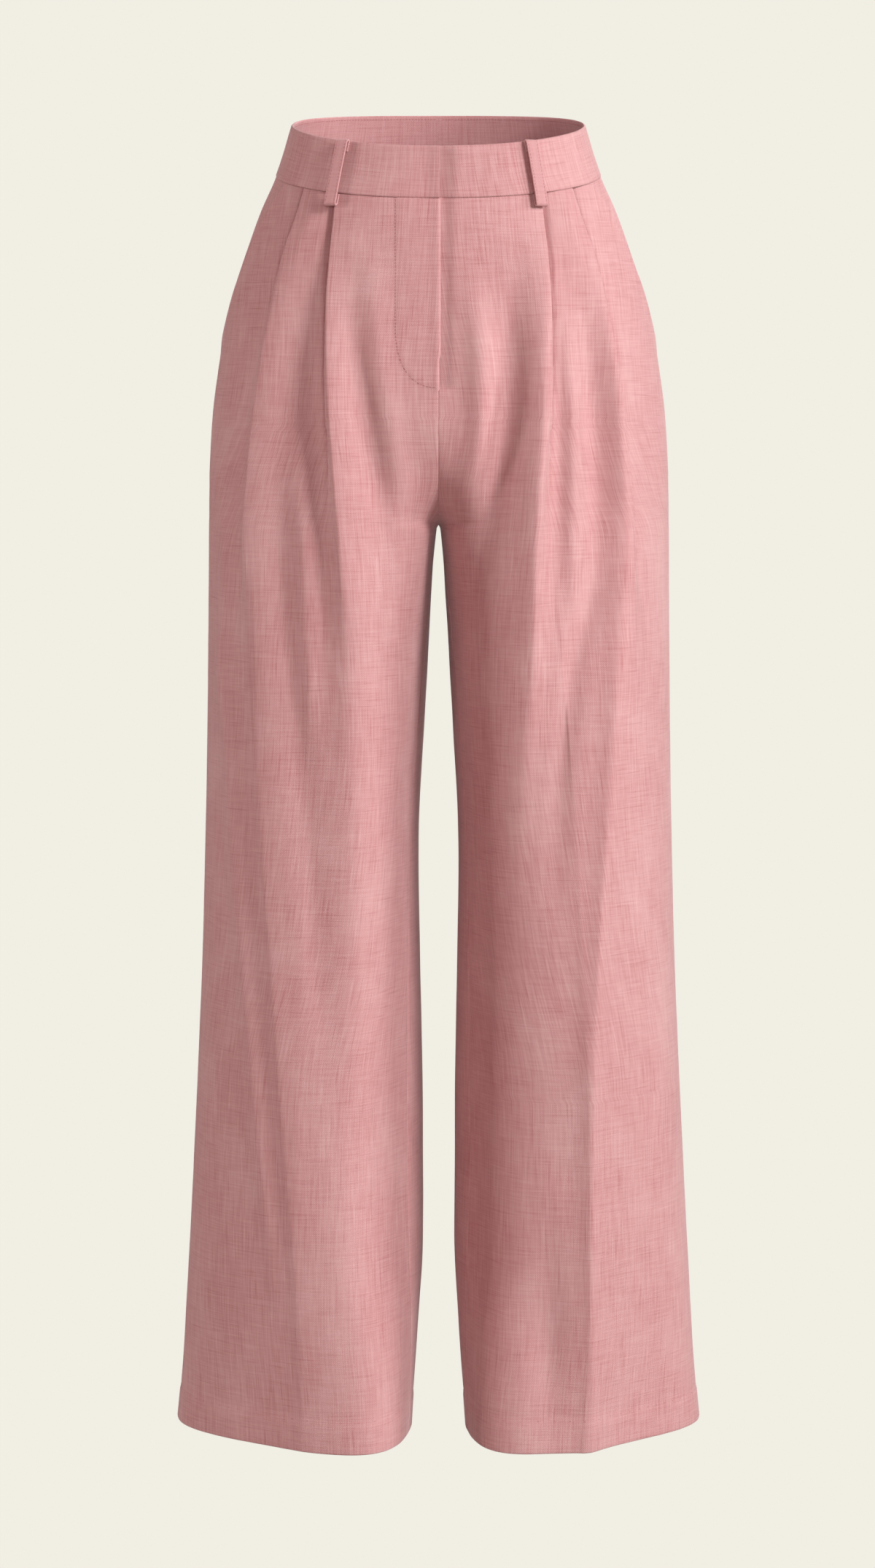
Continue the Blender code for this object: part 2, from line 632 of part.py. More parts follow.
def make_belt_loops():
    """Upright strips over the waistband, the front two leaning in at the top."""
    for name, face, side, top_x, bottom_x in BELT_LOOPS:
        mirror = np.array((side, 1, 1))
        lean = (bottom_x - top_x) / (BAND_HEIGHT + LOOP_BELOW_SEAM)
        _middle, out = band_place(face, (top_x + bottom_x) / 2, 0.0)
        out = out * mirror
        across = np.array((out[1], -out[0], 0.0)) * LOOP_WIDTH / 2
        rows = []
        for stand_off, height in loop_path():
            place, _out = band_place(face, top_x + lean * (BAND_HEIGHT - height), height)
            point = place * mirror + out * stand_off
            rows.append([tuple(point - across), tuple(point + across)])
        sheet(name, rows, LOOP_CLOTH, LOOP_TWILL)


def main():
    for old in list(bpy.data.objects):
        bpy.data.objects.remove(old, do_unlink=True)
    make_panels()
    make_pocket_sides()
    make_fly_shield()
    make_waistband()
    make_belt_loops()


main()
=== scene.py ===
"""Pleated wide-leg trousers in dusty pink slubbed twill, filled out as worn with nobody inside.

Metres, +Z up, +X the wearer's left and -Y the front. "Drop" is the distance below the waist seam at the
sides. Every panel is cut, pleated, folded, pressed and sewn here over its frame piece: the fronts with
their two forward pleats, the backs, the pocket sides, the fly underlap, the band with its facing, the
belt loops and all the stitching that shows.
"""

from __future__ import annotations

import logging
import math
from dataclasses import dataclass
from enum import Enum
from functools import cached_property
from typing import Any, Callable, Sequence

import bpy
import numpy as np
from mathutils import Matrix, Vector
from mathutils.bvhtree import BVHTree

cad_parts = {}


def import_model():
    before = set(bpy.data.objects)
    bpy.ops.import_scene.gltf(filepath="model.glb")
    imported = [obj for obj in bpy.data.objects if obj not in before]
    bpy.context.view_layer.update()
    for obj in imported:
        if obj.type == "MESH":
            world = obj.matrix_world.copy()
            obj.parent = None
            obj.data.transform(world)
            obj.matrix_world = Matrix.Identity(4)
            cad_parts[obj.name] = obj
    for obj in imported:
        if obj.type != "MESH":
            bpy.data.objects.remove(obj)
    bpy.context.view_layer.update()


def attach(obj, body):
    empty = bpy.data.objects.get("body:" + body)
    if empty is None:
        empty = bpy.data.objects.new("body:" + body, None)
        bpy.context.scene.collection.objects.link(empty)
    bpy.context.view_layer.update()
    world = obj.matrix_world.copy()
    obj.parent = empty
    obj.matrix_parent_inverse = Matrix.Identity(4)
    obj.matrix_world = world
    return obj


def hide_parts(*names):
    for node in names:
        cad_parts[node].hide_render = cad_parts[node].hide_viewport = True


LOG = logging.getLogger("trousers")
BODY = "root"
SMOOTH_ANGLE = math.radians(48)

Array = np.ndarray


class Side(Enum):
    """A side of the wearer, with the sign of its X."""

    LEFT = 1
    RIGHT = -1

    @property
    def word(self) -> str:
        """The side's name as piece names use it."""
        return self.name.lower()


class Face(Enum):
    """The front or the back half of a leg."""

    FRONT = "front"
    BACK = "back"


class Slot(Enum):
    """Names of material slots."""

    TWILL = "twill"
    INSIDE = "twill_inside"
    LOOP = "loop_twill"


def smooth_step(share: Array | float) -> Array:
    """0 below 0, 1 above 1, with level ends."""
    share = np.clip(share, 0.0, 1.0)
    return share * share * (3 - 2 * share)


def bump_of(offset: Array, width: Array | float) -> Array:
    """A bell of height 1 at offset 0, with the half width given."""
    return np.exp(-((offset / width) ** 2))


def value_noise(across: Array, down: Array, seed: int) -> Array:
    """Smooth noise from -1 to 1 with one lattice cell to the unit.

    Args:
        across: Places across the cloth, in cells.
        down: Places down the cloth, in cells.
        seed: Picks one pattern, the same each time.

    Returns:
        One value for each place.
    """
    cells = 64
    lattice = np.random.default_rng(seed).uniform(-1, 1, (cells, cells))
    column, row = np.floor(across).astype(int), np.floor(down).astype(int)
    across_share, down_share = smooth_step(across - column), smooth_step(down - row)

    def corner(column_step: int, row_step: int) -> Array:
        """Lattice value at one corner of each cell."""
        return lattice[(column + column_step) % cells, (row + row_step) % cells]

    top = corner(0, 0) * (1 - across_share) + corner(1, 0) * across_share
    bottom = corner(0, 1) * (1 - across_share) + corner(1, 1) * across_share
    return top * (1 - down_share) + bottom * down_share


@dataclass(frozen=True)
class Table:
    """Sizes at several drops, read on a smooth curve that never overshoots its rows."""

    columns: tuple[str, ...]
    rows: tuple[tuple[float, ...], ...]

    def read(self, name: str, drop: Array) -> Array:
        """Reads one column.

        Args:
            name: The column's name.
            drop: Drops to read it at.

        Returns:
            One value for each drop.
        """
        table = np.array(self.rows, float)
        at, values = table[:, 0], table[:, self.columns.index(name)]
        widths = np.diff(at)
        slopes = np.diff(values) / widths
        tangents = np.concatenate((slopes[:1], np.zeros(len(at) - 2), slopes[-1:]))
        for row in range(1, len(at) - 1):
            before, after = slopes[row - 1], slopes[row]
            if before * after > 0:
                weight_before = 2 * widths[row] + widths[row - 1]
                weight_after = widths[row] + 2 * widths[row - 1]
                total = weight_before + weight_after
                tangents[row] = total / (weight_before / before + weight_after / after)
        drop = np.clip(drop, at[0], at[-1])
        row = np.minimum(np.searchsorted(at, drop, side="right") - 1, len(widths) - 1)
        share = (drop - at[row]) / widths[row]
        rise = share * share * (3 - 2 * share)
        return (
            values[row] * (1 - rise)
            + values[row + 1] * rise
            + widths[row] * tangents[row] * share * (1 - share) ** 2
            - widths[row] * tangents[row + 1] * share * share * (1 - share)
        )


@dataclass(frozen=True)
class Section:
    """Level sections of a leg, one for each of n points, each made of two cubic spans."""

    spans: Array
    outer_fold_x: Array
    steps: int = 36

    @cached_property
    def _points(self) -> Array:
        """Sampled points, (n, 2 * steps + 1, 2)."""
        t = np.linspace(0, 1, self.steps + 1)
        weights = np.stack(((1 - t) ** 3, 3 * t * (1 - t) ** 2, 3 * t * t * (1 - t), t**3), 1)
        points = np.einsum("kc,nsci->nski", weights, self.spans)
        return np.concatenate((points[:, 0], points[:, 1, 1:]), axis=1)

    @cached_property
    def lengths(self) -> Array:
        """Length along the section to each sampled point."""
        steps = np.linalg.norm(np.diff(self._points, axis=1), axis=2)
        return np.concatenate((np.zeros((len(steps), 1)), np.cumsum(steps, axis=1)), axis=1)

    @property
    def to_fold(self) -> Array:
        """Length to the front crease, or from the side seam to the back one."""
        return self.lengths[:, self.steps]

    @property
    def to_end(self) -> Array:
        """Whole length of each section."""
        return self.lengths[:, -1]

    @cached_property
    def to_outer_fold(self) -> Array:
        """Length to the outer pleat's fold."""
        x = self._points[:, :, 0]
        step = np.clip((x <= self.outer_fold_x[:, None]).sum(1) - 1, 0, x.shape[1] - 2)
        rows = np.arange(len(x))
        width = x[rows, step + 1] - x[rows, step]
        share = (self.outer_fold_x - x[rows, step]) / width
        return self.lengths[rows, step] * (1 - share) + self.lengths[rows, step + 1] * share

    def place(self, distance: Array, relief: Array | float) -> Array:
        """Points at distances along the sections, moved out by a relief.

        Args:
            distance: Length along each section. Short of 0 it runs straight on.
            relief: How far out of the section each point lies.

        Returns:
            (n, 2) points.
        """
        rows = np.arange(len(self.lengths))
        inside = np.clip(distance, 0, self.to_end)
        step = np.clip((self.lengths <= inside[:, None]).sum(1) - 1, 0, 2 * self.steps - 1)
        start, end = self.lengths[rows, step], self.lengths[rows, step + 1]
        along = step + (inside - start) / np.maximum(end - start, 1e-12)
        second = (step >= self.steps).astype(int)
        t = (along / self.steps - second)[:, None]
        a, b, c, d = (self.spans[rows, second, corner] for corner in range(4))
        points = a * (1 - t) ** 3 + b * 3 * t * (1 - t) ** 2 + c * 3 * t * t * (1 - t) + d * t**3
        way = (b - a) * (1 - t) ** 2 + (c - b) * 2 * t * (1 - t) + (d - c) * t * t
        way /= np.linalg.norm(way, axis=1)[:, None]
        points[:, 0] += np.minimum(distance, 0)
        return points + np.stack((way[:, 1], -way[:, 0]), 1) * np.reshape(relief, (-1, 1))


LEG_SECTIONS = Table(
    (
        "drop", "side_x", "side_y", "fold_x", "fold_y", "slope_in", "slope_out", "outer_fold_x",
        "back_x", "back_y", "slope_back", "inner_square", "outer_square", "back_square",
    ),
    (
        (-0.0600, 0.1155, 0.000, 0.0780, -0.0680, 0.64, 0.64, 0.1000, 0.072, 0.0705, 0.52, 1.0, 1.0, 1.0),
        (0.0000, 0.1344, 0.000, 0.0825, -0.0765, 0.55, 0.55, 0.1070, 0.080, 0.0770, 0.50, 1.0, 1.0, 1.0),
        (0.0300, 0.1480, 0.002, 0.0845, -0.0840, 0.47, 0.47, 0.1145, 0.083, 0.0875, 0.46, 1.0, 1.0, 1.0),
        (0.0600, 0.1592, 0.005, 0.0862, -0.0895, 0.42, 0.42, 0.1230, 0.085, 0.0965, 0.42, 1.0, 1.0, 1.0),
        (0.1000, 0.1725, 0.008, 0.0880, -0.0950, 0.37, 0.40, 0.1310, 0.087, 0.1080, 0.38, 1.0, 1.0, 1.0),
        (0.1500, 0.1832, 0.010, 0.0884, -0.1005, 0.31, 0.38, 0.1385, 0.090, 0.1180, 0.32, 1.0, 1.0, 1.0),
        (0.2000, 0.1900, 0.012, 0.0868, -0.1045, 0.22, 0.36, 0.1445, 0.094, 0.1235, 0.24, 1.0, 1.0, 1.0),
        (0.2500, 0.1930, 0.012, 0.0890, -0.1085, 0.14, 0.33, 0.1500, 0.098, 0.1255, 0.16, 1.12, 1.0, 1.06),
        (0.2900, 0.1936, 0.012, 0.0930, -0.1110, 0.10, 0.30, 0.1545, 0.101, 0.1260, 0.10, 1.28, 1.0, 1.15),
        (0.3400, 0.1941, 0.011, 0.0975, -0.1130, 0.07, 0.27, 0.1570, 0.104, 0.1250, 0.05, 1.30, 1.0, 1.15),
        (0.4500, 0.1956, 0.008, 0.1070, -0.1150, 0.04, 0.30, 0.1600, 0.111, 0.1200, 0.00, 1.30, 1.05, 1.10),
        (0.6000, 0.1990, 0.004, 0.1150, -0.1145, 0.08, 0.38, 0.1640, 0.117, 0.1120, 0.00, 1.32, 1.15, 1.0),
        (0.8000, 0.2077, 0.000, 0.1225, -0.1135, 0.14, 0.52, 0.1690, 0.121, 0.1070, 0.00, 1.38, 1.25, 1.0),
        (0.9500, 0.2160, -0.002, 0.1235, -0.1135, 0.20, 0.65, 0.1720, 0.123, 0.1065, 0.00, 1.44, 1.35, 1.0),
        (1.0200, 0.2208, -0.002, 0.1200, -0.1150, 0.25, 0.72, 0.1730, 0.124, 0.1080, 0.00, 1.48, 1.40, 1.0),
        (1.0586, 0.2247, -0.002, 0.1190, -0.1165, 0.27, 0.76, 0.1730, 0.125, 0.1100, 0.00, 1.48, 1.40, 1.0),
    ),
)

CENTRE_SEAMS = Table(
    ("drop", "front", "back"),
    (
        (-0.060, -0.0905, 0.0905),
        (0.000, -0.0950, 0.0950),
        (0.050, -0.1040, 0.1090),
        (0.100, -0.1095, 0.1220),
        (0.150, -0.1130, 0.1310),
        (0.200, -0.1145, 0.1350),
    ),
)

INSEAM = Table(
    ("drop", "x", "y", "turn"),
    (
        (0.2900, 0.0016, -0.022, 90.0),
        (0.3400, 0.0075, -0.028, 84.0),
        (0.4500, 0.0172, -0.035, 77.0),
        (0.5500, 0.0238, -0.040, 73.0),
        (0.6800, 0.0262, -0.045, 66.0),
        (0.8000, 0.0266, -0.047, 62.0),
        (0.9000, 0.0250, -0.048, 64.0),
        (0.9700, 0.0232, -0.049, 74.0),
        (1.0586, 0.0262, -0.060, 82.0),
    ),
)


Places = Callable[[Section, Array], tuple[Array, Array]]


@dataclass(frozen=True)
class Pattern:
    """The trousers' shape: level sections by drop, the centre seams, the inseam and the waist line."""

    hem_drop: float = 1.0586
    crotch_drop: float = 0.290
    crotch_curve: float = 0.090
    crotch_y: float = -0.022
    half_gap: float = 0.00003
    half_cloth: float = 0.00045
    waist_rise: float = 0.19
    waist_bend: float = 0.50
    level_below: float = 0.200
    left_crease_shift: float = 0.002
    right_crease_shift: float = -0.006
    right_softness: float = 0.6
    crease_start: float = 0.45
    crease_settle: float = 0.25
    search_steps: int = 4
    least_turn: float = 0.01
    sections: Table = LEG_SECTIONS
    centres: Table = CENTRE_SEAMS
    inseam: Table = INSEAM

    def waist_line(self, y: Array) -> Array:
        """Height of the waist seam: it dips at the front and rises at the back."""
        return self.waist_rise * y - self.waist_bend * y * y

    def _inner_edge(self, face: Face, drop: Array) -> tuple[Array, Array, Array]:
        """x, y and turn of each section's inner end: the centre seam, or the inseam below the crotch."""
        curve_start = self.crotch_drop - self.crotch_curve
        plain = self.centres.read(face.value, np.minimum(drop, curve_start))
        share = np.clip((drop - curve_start) / self.crotch_curve, 0, 1)
        near = np.sqrt(1 - share * share)
        y = self.crotch_y + (plain - self.crotch_y) * near
        turn = np.arctan2(1 - near * near, near)
        x = self.half_gap + self.half_cloth * np.sin(turn)
        below = drop >= self.crotch_drop
        seam_turn = np.radians(self.inseam.read("turn", drop))
        if face is Face.BACK:
            seam_turn = math.pi - seam_turn
        return (
            np.where(below, self.inseam.read("x", drop), x),
            np.where(below, self.inseam.read("y", drop), y),
            np.where(below, seam_turn, turn),
        )

    def _span(
        self, start: Array, start_way: Array, end: Array, end_way: Array, squares: tuple[Any, Any]
    ) -> Array:
        """Control points of the roundest cubic between places with given directions.

        Args:
            start: (n, 2) places where the curves start.
            start_way: Their unit directions there.
            end: (n, 2) places where they end.
            end_way: Their unit directions there.
            squares: How square each end is: 1 is round, and more is squarer.

        Returns:
            (n, 4, 2) control points.
        """
        chord = end - start
        turn = np.maximum(np.arccos(np.clip((start_way * end_way).sum(1), -1, 1)), self.least_turn)
        reach = 4 / 3 * np.tan(turn / 4) / np.sin(turn)
        handles = [
            way * (reach * square * np.abs((chord * way).sum(1)))[:, None]
            for way, square in zip((start_way, end_way), squares)
        ]
        return np.stack((start, start + handles[0], end - handles[1], end), axis=1)

    def section(self, face: Face, side: Side, drop: Array) -> Section:
        """Level sections, from the inner edge to the side seam (front) or back (back).

        Args:
            face: Front or back half of the leg.
            side: The leg, because the two creases fell differently.
            drop: The drop of each section.

        Returns:
            The sections.
        """
        size = {name: self.sections.read(name, drop) for name in self.sections.columns[1:]}
        settled = smooth_step((drop - self.crease_start) / self.crease_settle)
        shift = settled * (self.left_crease_shift if side is Side.LEFT else self.right_crease_shift)
        x, y, turn = self._inner_edge(face, drop)
        inner = np.stack((x, y), 1)
        seam = np.stack((size["side_x"], size["side_y"]), 1)
        up = np.tile((0.0, 1.0), (len(drop), 1))

        def level(slope: Array, way: float) -> Array:
            """Unit directions along X that gain y by the slope."""
            return np.stack((np.full_like(slope, way), slope), 1) / np.hypot(1, slope)[:, None]

        if face is Face.FRONT:
            if side is Side.RIGHT:
                mean = (size["slope_in"] + size["slope_out"]) / 2
                for name in ("slope_in", "slope_out"):
                    size[name] += self.right_softness * settled * (mean - size[name])
            fold = np.stack((size["fold_x"] + shift, size["fold_y"]), 1)
            inner_way = np.stack((np.cos(turn), -np.sin(turn)), 1)
            square = size["inner_square"]
            first = self._span(inner, inner_way, fold, level(size["slope_in"], 1.0), (square, square))
            second = self._span(fold, level(size["slope_out"], 1.0), seam, up, (size["outer_square"], 1.0))
        else:
            crease = np.stack((size["back_x"] + shift, size["back_y"]), 1)
            crease_way = level(size["slope_back"], -1.0)
            inner_way = np.stack((-np.cos(turn), -np.sin(turn)), 1)
            square = size["back_square"]
            first = self._span(seam, up, crease, crease_way, (1.0, 1.0))
            second = self._span(crease, crease_way, inner, inner_way, (square, square))
        return Section(np.stack((first, second), axis=1), size["outer_fold_x"] + shift)

    def hang(
        self, face: Face, side: Side, drop: Array, places: Places
    ) -> tuple[Section, Array, Array, Array]:
        """Hangs a grid of cloth from the waist seam.

        Args:
            face: Front or back half of the leg.
            side: The leg.
            drop: (rows, columns) drops below the waist seam.
            places: Gives the distances and reliefs of the columns at each row.

        Returns:
            The sections of all the points, their distances and reliefs as flat arrays, and their heights.
        """
        columns = drop.shape[1]
        z = np.zeros(columns)
        for _ in range(self.search_steps):
            level = self.section(face, side, -z)
            distance, _relief = places(level, np.zeros((1, columns)))
            z = self.waist_line(level.place(distance.ravel(), 0.0)[:, 1])
        share = np.maximum(0, 1 - drop / self.level_below)
        height = -drop + z[None, :] * share * share
        level = self.section(face, side, -height.ravel())
        distance, relief = places(level, drop)
        return level, distance.ravel(), relief.ravel(), height


@dataclass(frozen=True)
class Pleats:
    """Two forward pleats. Throw makes the Z of cloth, spread stretches it, height lifts its layers."""

    tuck_drop: float = 0.06
    dip_share: float = 1.3
    dip_offset: float = 0.0030
    dip_width: float = 0.0026
    flat_throw: float = 0.008
    crisp_step: float = 0.12
    soft_step: float = 0.50
    sizes: Table = Table(
        (
            "drop", "inner_throw", "inner_spread", "inner_height",
            "outer_throw", "outer_spread", "outer_height", "inner_shift",
        ),
        (
            (0.0000, 0.0140, 0.006, 0.0021, 0.0130, 0.006, 0.0027, 0.000),
            (0.0500, 0.0130, 0.006, 0.0026, 0.0125, 0.006, 0.0031, 0.000),
            (0.1000, 0.0120, 0.006, 0.0030, 0.0115, 0.006, 0.0034, 0.000),
            (0.2000, 0.0085, 0.006, 0.0030, 0.0090, 0.006, 0.0032, 0.000),
            (0.2600, 0.0045, 0.006, 0.0026, 0.0060, 0.006, 0.0028, -0.006),
            (0.3200, 0.0015, 0.009, 0.0018, 0.0025, 0.008, 0.0020, -0.014),
            (0.3800, 0.0000, 0.014, 0.0010, 0.0000, 0.014, 0.0012, -0.021),
            (0.4800, 0.0000, 0.020, 0.0000, 0.0000, 0.020, 0.0006, -0.030),
            (0.6200, 0.0000, 0.020, 0.0000, 0.0000, 0.020, 0.0000, -0.020),
            (0.7600, 0.0000, 0.020, 0.0000, 0.0000, 0.020, 0.0000, 0.000),
            (1.0586, 0.0000, 0.020, 0.0000, 0.0000, 0.020, 0.0000, 0.000),
        ),
    )

    def size(self, name: str, drop: Array) -> Array:
        """One pleat size at each drop."""
        return self.sizes.read(name, drop)

    def tuck(self, drop: Array) -> Array:
        """1 at the waist seam, where a pleat's top layer lies level with the cloth round it, then 0."""
        return 1 - smooth_step(drop / self.tuck_drop)

    def dip(self, which: str, past_edge: Array, drop: Array) -> Array:
        """Depth of the narrow dip that the under layer makes just past a pleat's top fold."""
        deep = self.dip_share * self.size(f"{which}_height", drop)
        return deep * bump_of(past_edge - self.dip_offset, self.dip_width)

    def across(self, which: str, place: Array, edge: Array, drop: Array) -> tuple[Array, Array]:
        """Distances and reliefs through the Z of cloth.

        Args:
            which: "inner" or "outer".
            place: From -1 to 1 through the pleat. Its top fold is near -0.5.
            edge: Distance of its top fold along the section.
            drop: Drop of each point.

        Returns:
            Distances along the section, and reliefs.
        """
        throw, spread, height = (
            self.size(f"{which}_{name}", drop) for name in ("throw", "spread", "height")
        )
        step = self.soft_step - (self.soft_step - self.crisp_step) * np.minimum(1, throw / self.flat_throw)
        turn = np.arccos(np.minimum(spread / (math.pi * np.maximum(throw, spread)), 1)) / math.pi
        first = smooth_step((place + turn + step) / (2 * step))
        second = smooth_step((place - turn + step) / (2 * step))
        middle = edge - throw + spread / 2
        distance = middle + spread * place - throw * np.sin(math.pi * place)
        return distance, height * (1 - first - second - self.tuck(drop))


@dataclass(frozen=True)
class Fold:
    """A fold that runs down a panel: a ridge, or a trough where its height is negative.

    Its rows hold drops, distances from the middle and heights. A power of 2 rounds it, and 1 creases it.
    """

    name: str
    face: Face
    side: Side
    inner_width: float
    outer_width: float
    rows: tuple[tuple[float, float, float], ...]
    power: float = 2.0

    def relief(self, drop: Array, x: Array) -> Array:
        """How far the fold lifts the cloth at each drop and distance from the middle."""
        path = Table(("drop", "x", "height"), self.rows)
        there = (drop > self.rows[0][0]) & (drop < self.rows[-1][0])
        offset = x - path.read("x", drop)
        share = np.abs(offset) / np.where(offset < 0, self.inner_width, self.outer_width)
        return np.where(there, path.read("height", drop) * np.exp(-(share**self.power)), 0.0)


